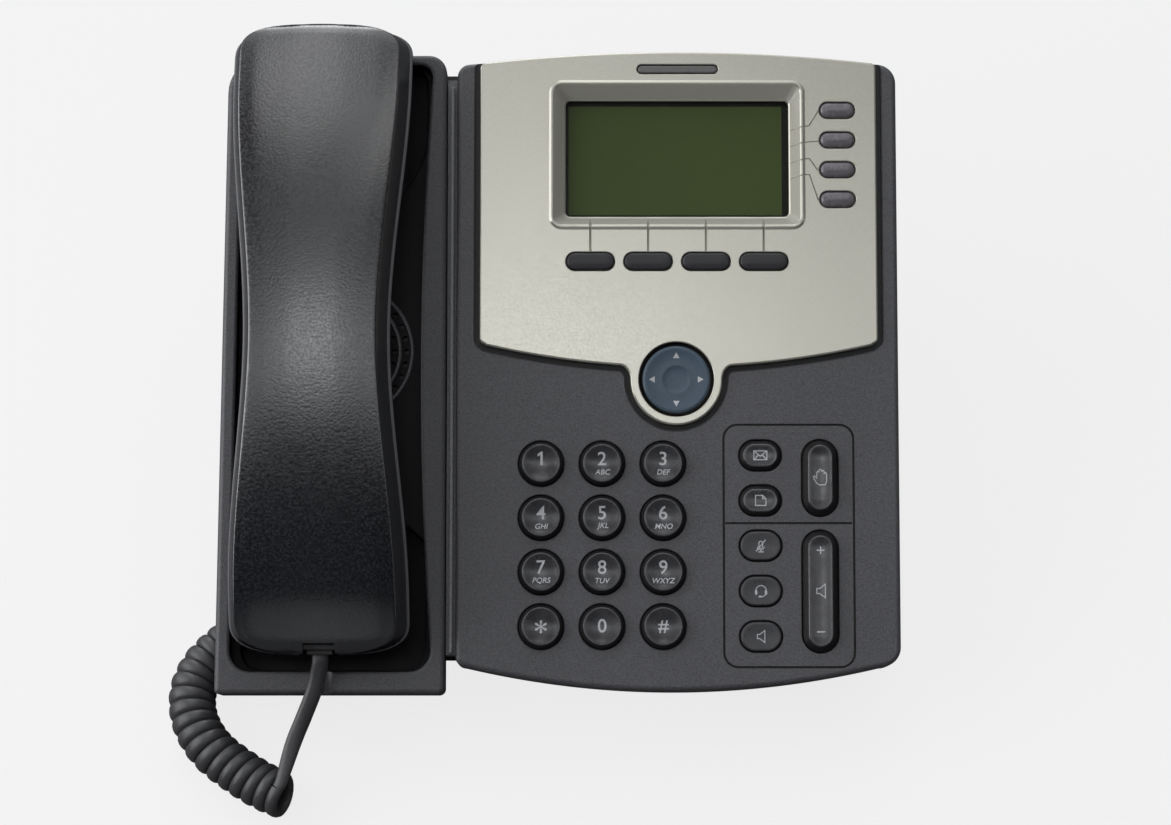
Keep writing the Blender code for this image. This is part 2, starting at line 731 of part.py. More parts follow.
def make_front_housing():
    """Console shell: deck with its key holes, skirt, and the ribbed flange beside the cradle."""
    skin = Skin()
    loop = console_loop()
    inner = inset(loop, WALL)
    outer = [skin.ring(inset(loop, SHELL_EDGE), 0.0), skin.ring(loop, -SHELL_EDGE),
             skin.ring(loop, -SKIRT_DEPTH), skin.ring(inner, -SKIRT_DEPTH), skin.ring(inner, -DECK_T)]
    skin.wall(outer)
    tops, bottoms = [], []
    for hole in deck_holes():
        rings = [skin.ring(inset(hole, -HOLE_EDGE), 0.0), skin.ring(hole, -HOLE_EDGE),
                 skin.ring(hole, -DECK_T)]
        skin.wall(rings)
        tops.append(rings[0])
        bottoms.append(rings[-1])
    skin.fill([outer[0]] + tops)
    skin.fill([outer[-1]] + bottoms)
    housing = skin.place("front_housing", CHARCOAL)
    root = CONSOLE_LEFT + WALL / 2.0
    join(housing, block((CRADLE_RIGHT + SEAT, FLANGE_ENDS[0], -SKIRT_DEPTH + SEAT),
                        (root, FLANGE_ENDS[1], -FLANGE_DEPTH)))
    rib_u = (CRADLE_RIGHT + SEAT + CONSOLE_LEFT) / 2.0
    join(housing, block((rib_u - RIB_WIDTH / 2.0, FLANGE_ENDS[0] + SEAT, -FLANGE_DEPTH - WALL / 2.0),
                        (rib_u + RIB_WIDTH / 2.0, FLANGE_ENDS[1] - RIB_END_MARGIN, -RIB_DEPTH)))
    seat = inset(plate_loop(), -PLATE_GAP)
    cut(housing, Skin().stack([(seat, -PLATE_SEAT_DEPTH), (seat, -PLATE_EDGE),
                               (inset(seat, -2.0 * PLATE_EDGE), PLATE_EDGE)]))
    cut(housing, prism(circle(HEADSET_RADIUS + SLIDE), -2.0 * WALL, 2.0 * WALL),
        location=(CONSOLE_RIGHT, HEADSET_V, -HEADSET_DEPTH), rotation=(0.0, math.pi / 2.0, 0.0))
    return housing


def grille_places():
    """Rings of sound holes over the loudspeaker."""
    places = [GRILLE_PLACE]
    for ring in range(1, GRILLE_RINGS):
        places += circle(ring * GRILLE_RING_PITCH, GRILLE_RING_HOLES * ring, GRILLE_PLACE)
    return places


def make_cradle_housing():
    """Handset cradle: rim, finger bay with the speaker grille, ear and mouth pockets."""
    skin = Skin()
    loop, opening = cradle_loop(), opening_loop()
    inner = inset(loop, WALL)
    outer = [skin.ring(inset(loop, SHELL_EDGE), 0.0), skin.ring(loop, -SHELL_EDGE),
             skin.ring(loop, -SKIRT_DEPTH), skin.ring(inner, -SKIRT_DEPTH),
             skin.ring(inner, CRADLE_UNDER)]
    skin.wall(outer)
    bay = [skin.ring(inset(opening, -LIP_EDGE), 0.0), skin.ring(opening, -LIP_EDGE),
           skin.ring(opening, -FLOOR_DEPTH)]
    skin.wall(bay)
    skin.fill([outer[0], bay[0]])
    ear, mouth = ([skin.ring(pocket, -FLOOR_DEPTH), skin.ring(pocket, -POCKET_DEPTH)]
                  for pocket in (ear_pocket_loop(), mouth_pocket_loop()))
    skin.wall(ear)
    skin.wall(mouth)
    skin.cap(mouth[-1])
    slot = shifted(rectangle((0.0, 0.0), HOOK_SLOT, SLIDE, 1), (HANDSET_U, HOOK_V))
    hook = [skin.ring(slot, -POCKET_DEPTH), skin.ring(slot, CRADLE_UNDER)]
    skin.wall(hook)
    skin.fill([ear[-1], hook[0]])
    holes = []
    for place in grille_places():
        hole = circle(GRILLE_HOLE_RADIUS, 6, place)
        holes.append([skin.ring(hole, -FLOOR_DEPTH), skin.ring(hole, GRILLE_UNDER)])
        skin.wall(holes[-1])
    seat = circle(SPEAKER_RADIUS + 2.0 * SLIDE, 2 * ROUND_STEPS, GRILLE_PLACE)
    well = [skin.ring(seat, GRILLE_UNDER), skin.ring(seat, CRADLE_UNDER)]
    skin.wall(well)
    skin.fill([bay[-1], ear[0], mouth[0]] + [hole[0] for hole in holes])
    skin.fill([well[0]] + [hole[1] for hole in holes])
    skin.fill([outer[-1], well[1], hook[1]])
    housing = skin.place("cradle_housing", CHARCOAL)
    half = NOTCH_WIDTH / 2.0
    cut(housing, block((HANDSET_U - half, CRADLE_FRONT - WALL, -NOTCH_DEPTH),
                       (HANDSET_U + half, OPENING_FRONT + WALL, WALL)))
    return housing


def make_faceplate():
    """Silver plate with a sloped display frame and its key, pad and lamp holes."""
    skin = Skin()
    loop = plate_loop()
    top = PLATE_PROUD
    outer = [skin.ring(inset(loop, PLATE_EDGE), top), skin.ring(loop, top - PLATE_EDGE),
             skin.ring(loop, PLATE_UNDER)]
    skin.wall(outer)
    holes = [stadium(SOFT_HOLE, centre=place) for place in soft_places()]
    holes += [stadium(LINE_HOLE, centre=place) for place in line_places()]
    holes += [stadium(LAMP_HOLE, centre=LAMP_PLACE), circle(NAV_HOLE_RADIUS, 2 * ROUND_STEPS, NAV_PLACE)]
    tops, bottoms = [], []
    for hole in holes:
        rings = [skin.ring(inset(hole, -HOLE_EDGE), top), skin.ring(hole, top - HOLE_EDGE),
                 skin.ring(hole, PLATE_UNDER)]
        skin.wall(rings)
        tops.append(rings[0])
        bottoms.append(rings[-1])
    rim = FRAME_RIM_WIDTH
    frame = [skin.ring(frame_loop(), top), skin.ring(frame_loop(rim / 3.0), top + FRAME_RIM_HEIGHT),
             skin.ring(frame_loop(rim), top), skin.ring(window_loop(), -WINDOW_SILL),
             skin.ring(window_loop(), FRAME_UNDER), skin.ring(frame_loop(-SEAT), FRAME_UNDER),
             skin.ring(frame_loop(-SEAT), PLATE_UNDER)]
    skin.wall(frame)
    skin.fill([outer[0], frame[0]] + tops)
    skin.fill([outer[-1], frame[-1]] + bottoms)
    return skin.place("faceplate", SILVER)


def make_display():
    """Clear window under the frame and the display module on the board."""
    window = window_loop(WINDOW_LAP)
    prism(window, WINDOW_UNDER, WINDOW_TOP).place("display_window", GLASS)
    prism(window_loop(LCD_LAP), BOARD_TOP + SEAT, WINDOW_UNDER - SEAT).place("lcd_module", LCD_GREEN)
    lamp = inset(stadium(LAMP_HOLE, centre=LAMP_PLACE), SLIDE)
    Skin().stack([(lamp, -DECK_T), (lamp, PLATE_PROUD - HOLE_EDGE),
                  (inset(lamp, HOLE_EDGE), PLATE_PROUD)]).place("message_lamp", LINE_GREY)


def key_levels(hole, flange_top, shoulder, step, proud, flange_t=FLANGE_T):
    """Levels of a key: flange under the deck, guided body, and a top drawn in above its shoulder."""
    body = inset(hole, SLIDE)
    flange = inset(hole, -FLANGE_LAP)
    top = inset(body, step)
    edge = HOLE_EDGE
    return [(flange, flange_top - flange_t), (flange, flange_top), (body, flange_top), (body, shoulder),
            (top, proud - edge), (inset(top, edge), proud)]


def flush_levels(hole, flange_top, proud):
    """Levels of a key whose top has only a broken edge."""
    return key_levels(hole, flange_top, proud - 2.0 * HOLE_EDGE, HOLE_EDGE, proud)


def make_deck_keys():
    """Dial keys, function keys and the hold key, each on its own slide."""
    dial_step = (DIAL_HOLE - DIAL_TOP) / 2.0 - SLIDE
    for name, place in dial_places():
        levels = key_levels(circle(DIAL_HOLE / 2.0), KEY_FLANGE_TOP, 0.0, dial_step, DIAL_PROUD)
        levels.append((circle(DIAL_DISH[0]), DIAL_PROUD - DIAL_DISH[1]))
        Skin().stack(levels).place("key_" + name, KEY_GREY, location=(*place, 0.0))
    for name, place in function_places():
        hole = stadium(FUNCTION_HOLE)
        if name in ("setup", "message"):
            levels = key_levels(hole, KEY_FLANGE_TOP, -HOLE_EDGE, FUNCTION_STEP, FUNCTION_PROUD)
        else:
            levels = flush_levels(hole, KEY_FLANGE_TOP, FLUSH_PROUD)
        Skin().stack(levels).place("key_" + name, KEY_GREY, location=(*place, 0.0))
    levels = key_levels(stadium(HOLD_HOLE), KEY_FLANGE_TOP, 0.0, TALL_STEP, TALL_PROUD)
    Skin().stack(levels).place("key_hold", KEY_GREY, location=(*HOLD_PLACE, 0.0))


def make_plate_keys():
    """Soft keys and line keys, which stand in the faceplate on stems over the board."""
    flange_top = PLATE_UNDER - SEAT
    stem_end = BOARD_TOP + SIDE_KEY_TRAVEL + PRESS_MARGIN
    sets = (("softkey_", SOFT_HOLE, soft_places(), SOFT_BLACK),
            ("line_key_", LINE_HOLE, line_places(), LINE_GREY))
    for prefix, size, places, finish in sets:
        for i, place in enumerate(places):
            skin = Skin()
            levels = flush_levels(stadium(size), flange_top, PLATE_PROUD + PLATE_KEY_PROUD)
            rings = [skin.ring(loop, w) for loop, w in levels]
            stem = circle(STEM_RADIUS, 8)
            post = [skin.ring(stem, stem_end), skin.ring(stem, levels[0][1])]
            skin.wall(rings)
            skin.wall(post)
            skin.cap(rings[-1])
            skin.cap(post[0])
            skin.fill([rings[0], post[1]])
            skin.place(prefix + str(i + 1), finish, location=(*place, 0.0))


def make_rockers():
    """Volume rocker on a cross axis, and the navigation pad on its two-way pivot."""
    pivot = VOLUME_PIVOT_DEPTH
    levels = key_levels(stadium(VOLUME_HOLE), KEY_FLANGE_TOP - ROCK_ROOM, 0.0, TALL_STEP, TALL_PROUD,
                        ROCK_FLANGE_T)
    Skin().stack([(loop, w + pivot) for loop, w in levels]).place(
        "volume_rocker", KEY_GREY, location=(*VOLUME_PLACE, -pivot))
    radius = NAV_HOLE_RADIUS - NAV_GAP
    flange_top = PLATE_UNDER - ROCK_ROOM
    top = PLATE_PROUD - HOLE_EDGE
    profile = [(radius + NAV_FLANGE + NAV_GAP, flange_top - ROCK_FLANGE_T),
               (radius + NAV_FLANGE + NAV_GAP, flange_top), (radius, flange_top),
               (radius, top - 2.0 * HOLE_EDGE), (radius - 2.0 * HOLE_EDGE, top),
               (NAV_DIMPLE_RADIUS * 2.0, top - NAV_DIMPLE_DEPTH / 2.0),
               (NAV_DIMPLE_RADIUS, top - NAV_DIMPLE_DEPTH / 2.0),
               (NAV_DIMPLE_RADIUS * 0.8, top - NAV_DIMPLE_DEPTH)]
    pivot = NAV_PIVOT_DEPTH
    Skin().stack([(circle(r, 20), w + pivot) for r, w in profile]).place(
        "nav_pad", SLATE, location=(*NAV_PLACE, -pivot))
    post = circle(NAV_POST_RADIUS, 10)
    prism(post, BOARD_TOP + SEAT + pivot, pivot - NAV_POST_TOP).place(
        "nav_pivot", SOCKET_BLACK, location=(*NAV_PLACE, -pivot))


def make_board():
    """Circuit board on four posts, the rubber key sheet, and the sockets under the board."""
    left, right = CONSOLE_LEFT + BOARD_MARGIN, CONSOLE_RIGHT - BOARD_MARGIN
    front, back = CONSOLE_FRONT + BOARD_MARGIN, CONSOLE_BACK - BOARD_MARGIN
    sheet = rectangle(((left + right) / 2.0, (front + back) / 2.0), (right - left, back - front), WALL, 2)
    prism(sheet, BOARD_UNDER, BOARD_TOP).place("main_board", BOARD_GREEN)
    keys_left = across(DIAL_LEFT) - DIAL_HOLE / 2.0
    keys_right = VOLUME_PLACE[0] + VOLUME_HOLE[0] / 2.0
    keys_back = DIAL_FRONT + 3.0 * DIAL_PITCH[1] + DIAL_HOLE / 2.0
    rubber = rectangle(((keys_left + keys_right) / 2.0, (front + keys_back) / 2.0),
                       (keys_right - keys_left, keys_back - front), WALL, 2)
    prism(rubber, MEMBRANE_TOP - MEMBRANE_T, MEMBRANE_TOP).place("key_membrane", RUBBER)


def socket(name, u, size, finish, mouths):
    """Socket block whose mouths, as (u, w, width, height, depth), open down the slope."""
    wide, deep, tall = size
    made = block((-wide / 2.0, 0.0, -tall), (wide / 2.0, deep, 0.0)).place(
        name, finish, location=(u, WELL_BACK + SEAT, SOCKET_TOP))
    for mouth_u, mouth_w, mouth_wide, mouth_tall, mouth_deep in mouths:
        cut(made, block((mouth_u - mouth_wide / 2.0, -WALL, mouth_w - mouth_tall / 2.0),
                        (mouth_u + mouth_wide / 2.0, mouth_deep, mouth_w + mouth_tall / 2.0)),
            location=made.location)
    return made


def make_sockets():
    """Network, power, handset and headset sockets."""
    wide, tall, deep = NETWORK_MOUTH
    half = NETWORK_PORT_PITCH / 2.0
    socket("network_jacks", NETWORK_U, NETWORK_SIZE, DARK_STEEL,
           [(side * half, -NETWORK_SIZE[2] / 2.0, wide, tall, deep) for side in (-1.0, 1.0)])
    wide, tall, deep = CORD_JACK_MOUTH
    socket("base_jack", BASE_JACK_U, CORD_JACK_SIZE, SOCKET_BLACK,
           [(0.0, -CORD_JACK_SIZE[2] / 2.0, wide, tall, deep)])
    wide, deep, tall = POWER_SIZE
    bore, bore_depth = POWER_BORE
    pin, pin_length = POWER_PIN
    skin = Skin()
    shell = [Vector((su * wide / 2.0, sv * tall / 2.0)) for su, sv in ((-1, -1), (1, -1), (1, 1), (-1, 1))]
    body = [skin.ring(shell, -deep), skin.ring(shell, 0.0)]
    hole = [skin.ring(circle(bore, 12), 0.0), skin.ring(circle(bore, 12), -bore_depth)]
    core = [skin.ring(circle(pin, 6), -bore_depth), skin.ring(circle(pin, 6), -bore_depth + pin_length)]
    for rings in (body, hole, core):
        skin.wall(rings)
    skin.cap(body[0])
    skin.fill([body[1], hole[0]])
    skin.fill([hole[1], core[0]])
    skin.cap(core[1])
    skin.place("power_jack", SOCKET_BLACK, location=(POWER_U, WELL_BACK + SEAT, SOCKET_TOP - tall / 2.0),
               rotation=(math.pi / 2.0, 0.0, 0.0))
    bore, bore_depth = HEADSET_BORE
    skin = Skin()
    tube = [skin.ring(circle(HEADSET_RADIUS), -HEADSET_LENGTH), skin.ring(circle(HEADSET_RADIUS), 0.0)]
    hole = [skin.ring(circle(bore, 8), 0.0), skin.ring(circle(bore, 8), -bore_depth)]
    skin.wall(tube)
    skin.wall(hole)
    skin.cap(tube[0])
    skin.cap(hole[1])
    skin.fill([tube[1], hole[0]])
    skin.place("headset_jack", SOCKET_BLACK, location=(CONSOLE_RIGHT - SEAT, HEADSET_V, -HEADSET_DEPTH),
               rotation=(0.0, math.pi / 2.0, 0.0))


def tray_loop():
    """Plan of the deep part of the rear cover, which leaves a cord bay under the cradle."""
    left = CRADLE_LEFT + TRAY_MARGIN
    right = CONSOLE_RIGHT - TRAY_MARGIN
    back = CONSOLE_BACK - TRAY_MARGIN
    corner = TRAY_CORNER
    return outline([(TRAY_STEP_U, TRAY_FRONT, corner, 0.0), (right, TRAY_FRONT, corner, 0.0),
                    (right, back, corner, 0.0), (left, back, corner, 0.0), (left, BAY_BACK, corner, 0.0),
                    (TRAY_STEP_U, BAY_BACK, SEAT, 0.0)], steps=2)


def rear_plan():
    """Plan of the flat part of the rear cover, under both shells."""
    r = WALL
    cradle_left, cradle_right = CRADLE_LEFT + REAR_INSET, CRADLE_RIGHT - REAR_INSET
    left, right = CONSOLE_LEFT + REAR_INSET, CONSOLE_RIGHT - REAR_INSET
    front, back = CONSOLE_FRONT + REAR_INSET, CONSOLE_BACK - REAR_INSET
    return outline([
        (cradle_left, CRADLE_FRONT + REAR_INSET, r, 0.0), (cradle_right, CRADLE_FRONT + REAR_INSET, r, 0.0),
        (cradle_right + SEAT, front + WALL, SEAT, 0.0), (left, front + WALL, SEAT, 0.0),
        (left + WALL, front, WALL / 2.0, CONSOLE_FRONT_BOW), (right, front, CONSOLE_CORNERS[1], 0.0),
        (right, back, CONSOLE_CORNERS[2], 0.0),
        (cradle_left + CRADLE_TAPER, back, CRADLE_CORNERS[3], 0.0)], steps=2)


def foot_block(place):
    """Moulded foot with its sole parallel to the desk."""
    u, front = place
    half = PAD_SIZE[0] / 2.0 + FOOT_MARGIN
    back = front + PAD_SIZE[1] + 2.0 * FOOT_MARGIN
    side = [(front, REAR_PLATE_UNDER + SEAT), (back, REAR_PLATE_UNDER + SEAT),
            (back, level_on_face(back, FOOT_LEVEL)), (front, level_on_face(front, FOOT_LEVEL))]
    skin = Skin()
    ends = [skin.section([(u + s * half, v, w) for v, w in side]) for s in (-1.0, 1.0)]
    skin.wall(ends)
    skin.cap(ends[0])
    skin.cap(ends[1])
    return skin


def make_rear_cover():
    """Rear cover: flat plate, deep tray, socket well, board posts, vents and wall keyholes."""
    cover = prism(rear_plan(), REAR_PLATE_UNDER, REAR_TOP).place("rear_cover", CHARCOAL)
    tray = tray_loop()
    join(cover, Skin().stack([(inset(tray, TRAY_DRAFT), TRAY_UNDER), (tray, REAR_TOP - REAR_PLATE_T / 2.0)]))
    for place in FOOT_PLACES.values():
        join(cover, foot_block(place))
    hollow = inset(tray, WALL)
    cut(cover, Skin().stack([(inset(hollow, TRAY_DRAFT), TRAY_FLOOR), (hollow, 0.0)]))
    join(cover, block((WELL_LEFT - WALL, WELL_FRONT - WALL, TRAY_FLOOR - SEAT),
                      (WELL_RIGHT + WALL, WELL_BACK + WALL, -WELL_DEPTH + WALL / 2.0)))
    cut(cover, block((WELL_LEFT, WELL_FRONT, TRAY_UNDER - WALL), (WELL_RIGHT, WELL_BACK, -WELL_DEPTH)))
    for u, size in ((NETWORK_U, NETWORK_SIZE), (BASE_JACK_U, CORD_JACK_SIZE), (POWER_U, POWER_SIZE)):
        half = size[0] / 2.0 + SLIDE
        cut(cover, block((u - half, WELL_BACK - WALL / 2.0, SOCKET_TOP - size[2] - SLIDE),
                         (u + half, WELL_BACK + 2.0 * WALL, 0.0)))
    left, right = CONSOLE_LEFT + BOARD_MARGIN, CONSOLE_RIGHT - BOARD_MARGIN
    front, back = CONSOLE_FRONT + BOARD_MARGIN, CONSOLE_BACK - BOARD_MARGIN
    for u in (left + POST_INSET, right - POST_INSET):
        for v in (front + POST_INSET, back - POST_INSET):
            join(cover, prism(circle(POST_RADIUS, 8, (u, v)), TRAY_FLOOR - SEAT, SOCKET_TOP))
    for i in range(VENT_COUNT):
        place = (VENT_PLACE[0], VENT_PLACE[1] - i * VENT_PITCH)
        cut(cover, prism(rectangle(place, VENT_SIZE, SEAT, 1), TRAY_UNDER - WALL, TRAY_FLOOR + WALL))
    low, high = TRAY_UNDER - WALL, TRAY_FLOOR + WALL
    for u in KEYHOLE_U:
        v = KEYHOLE_V if u > TRAY_STEP_U else BAY_BACK + KEYHOLE_V - TRAY_FRONT
        cut(cover, prism(circle(KEYHOLE_HEAD, 10, (u, v)), low, high))
        cut(cover, prism(rectangle((u, v + KEYHOLE_SLOT[1] / 2.0), KEYHOLE_SLOT, SEAT, 1), low, high))
    for u in (-CLIP_U, CLIP_U):
        size = (CLIP_SIZE[0] + 2.0 * SLIDE, CLIP_SIZE[1] + 2.0 * SLIDE)
        cut(cover, prism(rectangle((u, CLIP_V), size, SEAT / 2.0, 1), low, high))
    return cover


def make_pad(name, u, y, length):
    """Rubber pad flat on the desk."""
    prism(rectangle((u, y), (PAD_SIZE[0], length), WALL / 2.0, 2), 0.0, PAD_T).place(name, RUBBER, PHONE)


def make_stand():
    """Clip-on stand: a plate under the tray, two side legs and a windowed back wall."""
    plate_top = TRAY_UNDER - SEAT
    plate_low = plate_top - STAND_T
    front, back = on_desk(STAND_FRONT, plate_low), on_desk(STAND_BACK, plate_low)
    front_top, back_top = on_desk(STAND_FRONT, plate_top), on_desk(STAND_BACK, plate_top)
    foot_back = (STAND_FOOT_BACK, FOOT_LEVEL)
    foot_front = (STAND_FOOT_BACK - STAND_FOOT_LENGTH, FOOT_LEVEL)

    def slab(profile, low, high):
        skin = Skin()
        ends = [skin.section([(u, y, z) for y, z in profile]) for u in (low, high)]
        skin.wall(ends)
        skin.cap(ends[0])
        skin.cap(ends[1])
        return skin

    profile = [foot_front, foot_back, back_top, front_top]
    stand = slab(profile, -STAND_HALF, STAND_HALF).place("desk_stand", CHARCOAL, PHONE)
    inner = STAND_HALF - STAND_T
    slope = (foot_back[0] - back[0]) / (back[1] - foot_back[1])
    hollow = [(foot_front[0] - WALL, -WALL), (foot_back[0] - STAND_T, -WALL),
              (back[0] - STAND_T + slope * STAND_T, back[1]), front, (front[0] - STAND_T, front[1] - STAND_T)]
    reach = hollow[-1]
    hollow.append((reach[0] - STAND_T, reach[1] - STAND_T))
    cut(stand, slab(hollow, -inner, inner))
    margin = STAND_WINDOW_MARGIN
    window = (inner - margin, foot_back[1] + margin, back[1] - margin)
    cut(stand, block((-window[0], foot_back[0] - 3.0 * STAND_T - WALL, window[1]),
                     (window[0], foot_back[0] + WALL, window[2])))
    for u in (-CLIP_U, CLIP_U):
        low, high = plate_top - STAND_T / 2.0, plate_top + CLIP_SIZE[2]
        half_v = CLIP_SIZE[1] / 2.0
        tab = [on_desk(CLIP_V - half_v, low), on_desk(CLIP_V + half_v, low),
               on_desk(CLIP_V + half_v, high), on_desk(CLIP_V - half_v, high)]
        join(stand, slab(tab, u - CLIP_SIZE[0] / 2.0, u + CLIP_SIZE[0] / 2.0))
    return stand


def make_feet():
    """Rubber pads under the front feet and the stand's legs."""
    for side, (u, front) in FOOT_PLACES.items():
        start = on_desk(front, level_on_face(front, FOOT_LEVEL))[0]
        end_v = front + PAD_SIZE[1] + 2.0 * FOOT_MARGIN
        end = on_desk(end_v, level_on_face(end_v, FOOT_LEVEL))[0]
        make_pad("front_foot_" + side, u, (start + end) / 2.0, PAD_SIZE[1])
    middle = STAND_FOOT_BACK - STAND_FOOT_LENGTH / 2.0
    for side, sign in (("left", -1.0), ("right", 1.0)):
        make_pad("stand_foot_" + side, sign * (STAND_HALF - PAD_SIZE[0] / 2.0), middle,
                 STAND_FOOT_LENGTH - 2.0 * FOOT_MARGIN)


def make_speaker_and_hook():
    """Loudspeaker under the grille; hook plunger and its switch under the ear pocket."""
    top = GRILLE_UNDER - SEAT
    rim, magnet = SPEAKER_RADIUS, SPEAKER_MAGNET_RADIUS
    middle = top - (SPEAKER_RIM_T + SPEAKER_DEPTH) / 2.0
    profile = [(rim, top), (rim, top - SPEAKER_RIM_T), (magnet * 1.3, middle), (magnet, middle),
               (magnet, top - SPEAKER_DEPTH)]
    Skin().stack([(circle(r, 2 * ROUND_STEPS), w) for r, w in profile]).place(
        "loudspeaker", DARK_STEEL, location=(*GRILLE_PLACE, 0.0))
    stem = rectangle((0.0, 0.0), (HOOK_SLOT[0] - 2.0 * SLIDE, HOOK_SLOT[1] - 2.0 * SLIDE), SLIDE, 1)
    flange_top = CRADLE_UNDER - HOOK_TRAVEL - SEAT
    flange = inset(stem, -HOOK_FLANGE)
    Skin().stack([(flange, flange_top - FLANGE_T), (flange, flange_top), (stem, flange_top),
                  (stem, -POCKET_DEPTH)]).place("hook_plunger", SOCKET_BLACK,
                                                location=(HANDSET_U, HOOK_V, 0.0))
    switch = rectangle((0.0, 0.0), SWITCH_SIZE, SLIDE, 1)
    prism(switch, TRAY_FLOOR + SEAT, flange_top - FLANGE_T - SEAT).place(
        "hook_switch", SOCKET_BLACK, location=(HANDSET_U, HOOK_V, 0.0))


def smooth(t):
    t = min(max(t, 0.0), 1.0)
    return t * t * (3.0 - 2.0 * t)


def handset_half(y):
    """Half width of the handset along its length, waisted and with round corners."""
    wide, waist = HANDSET_END_HALF, HANDSET_WAIST_HALF
    half = waist + (wide - waist) * smooth(abs(y) / HANDSET_WAIST_REACH)
    past = abs(y) - (HANDSET_LENGTH / 2.0 - HANDSET_CORNER)
    if past > 0.0:
        half += math.sqrt(max(HANDSET_CORNER ** 2 - past ** 2, 0.0)) - HANDSET_CORNER
    return half


def handset_arch(y):
    across = y / (HANDSET_LENGTH / 2.0)
    return HANDSET_CREST - HANDSET_ARCH * across * across


def handset_crest(y):
    """Height of the arched back, falling away at the tip and, over a longer stretch, at the chin."""
    reach, drop = HANDSET_TIP_ROUND if y > 0.0 else HANDSET_CHIN_ROUND
    past = max(abs(y) - (HANDSET_LENGTH / 2.0 - reach), 0.0) / reach
    return handset_arch(y) - drop * (1.0 - math.sqrt(max(1.0 - past * past, 0.0)))


def handset_split(y):
    return handset_arch(y) - HANDSET_SPLIT


def cap_half(v):
    """Half width of the ear and mouth caps, rounded towards the handle and towards the ends."""
    ear = v > HANDSET_V
    centre, reaches = (HOOK_V, EAR_CAP_REACH) if ear else (MOUTH_CAP_CENTRE, MOUTH_CAP_REACH)
    inward = (v < centre) == ear
    ratio = abs(v - centre) / reaches[0 if inward else 1]
    return CAP_HALF * math.sqrt(max(1.0 - ratio ** (2 if inward else 3), CAP_LEAST))


def cap_share(v):
    """How far the underside has gone from the handle's level to a cap's level."""
    share = 0.0
    for low, high in (EAR_CAP, MOUTH_CAP):
        slopes = (CAP_SLOPE, CAP_END_SLOPE) if low > HANDSET_V else (CAP_END_SLOPE, CAP_SLOPE)
        share += smooth((v - low) / slopes[0] + 1.0) * smooth((high - v) / slopes[1] + 1.0)
    return share


def handset_stations():
    """Places along the handset, closer together at its ends and cap slopes."""
    low, high = HANDSET_V - HANDSET_LENGTH / 2.0, HANDSET_V + HANDSET_LENGTH / 2.0
    places = [low, high]
    places += [high - HANDSET_TIP_ROUND[0] * (1.0 - math.cos(math.pi * k / 6.0)) for k in range(1, 4)]
    places += [low + HANDSET_CHIN_ROUND[0] * (1.0 - math.cos(math.pi * k / 8.0)) for k in range(1, 5)]
    places += [high - HANDSET_CORNER * k / 4.0 for k in (2, 3, 4)]
    places += [EAR_CAP[0] - CAP_SLOPE * k / 4.0 for k in range(5)]
    places += [MOUTH_CAP[1] + CAP_SLOPE * k / 4.0 for k in range(5)]
    places += [EAR_CAP[1] + CAP_END_SLOPE * k / 2.0 for k in range(3)]
    places += [MOUTH_CAP[0] - CAP_END_SLOPE * k / 2.0 for k in range(3)]
    places += [HOOK_V + (EAR_CAP[0] - HOOK_V) * k / 3.0 for k in range(3)]
    places += [HANDSET_V + HANDSET_WAIST_REACH * k / 4.0 for k in (-2, -1, 0, 1, 2)]
    kept = []
    for place in sorted(places):
        if low <= place and (not kept or place - kept[-1] > SEAT):
            kept.append(place)
    return [place - HANDSET_V for place in kept]


def make_handset():
    """Back shell with sloping shoulders, front shell with its caps, and what they hold."""
    back, front = Skin(), Skin()
    back_rings, front_rings = [], []
    for y in handset_stations():
        half, crest, split = handset_half(y), handset_crest(y), handset_split(y)
        rise = max(crest - split, SEAT)
        shoulder = ((half, 0.0), (half - 0.0006, 0.45), (half - 0.0022, 0.75), (half - 0.0042, 0.90),
                    (half - 0.0085, 0.965), (half * 0.33, 1.0))
        right = [(x, y, split + rise * part) for x, part in shoulder]
        left = [(-x, y, w) for x, _, w in reversed(right)]
        back_rings.append(back.section(right + left))
        top = split - SEAT
        share, cap = cap_share(y + HANDSET_V), cap_half(y + HANDSET_V)
        across = y / (HANDSET_LENGTH / 2.0)
        handle = min(HANDLE_UNDER - HANDLE_ARCH * across * across, top - WALL)
        handle_side = ((half - SLIDE, top), (half - 2.0 * SLIDE, (top + handle) / 2.0),
                       (half - 0.0022, handle + 0.0012), (half - 0.0055, handle))
        cap_side = ((half - SLIDE, top), (half - 2.0 * SLIDE, 2.0 * CAP_RIM_CLEAR),
                    (cap, CAP_RIM_CLEAR), (cap - SLIDE, CAP_UNDER))
        right = [(x + (cap_x - x) * share, y, w + (cap_w - w) * share)
                 for (x, w), (cap_x, cap_w) in zip(handle_side, cap_side)]
        left = [(-x, y, w) for x, _, w in reversed(right)]
        front_rings.append(front.section(right + left))
    for skin, rings in ((back, back_rings), (front, front_rings)):
        skin.wall(rings)
        skin.cap(rings[0])
        skin.cap(rings[-1])
    back_shell = back.place("handset_back", CHARCOAL, HANDSET)
    front_shell = front.place("handset_front", CHARCOAL, HANDSET)
    fit_receiver(front_shell, "handset_receiver", HOOK_V - HANDSET_V, RECEIVER_RADIUS, RECEIVER_T)
    fit_receiver(front_shell, "handset_microphone", MICROPHONE_V - HANDSET_V, MICROPHONE_RADIUS,
                 MICROPHONE_T)
    fit_handset_jack(back_shell, front_shell)


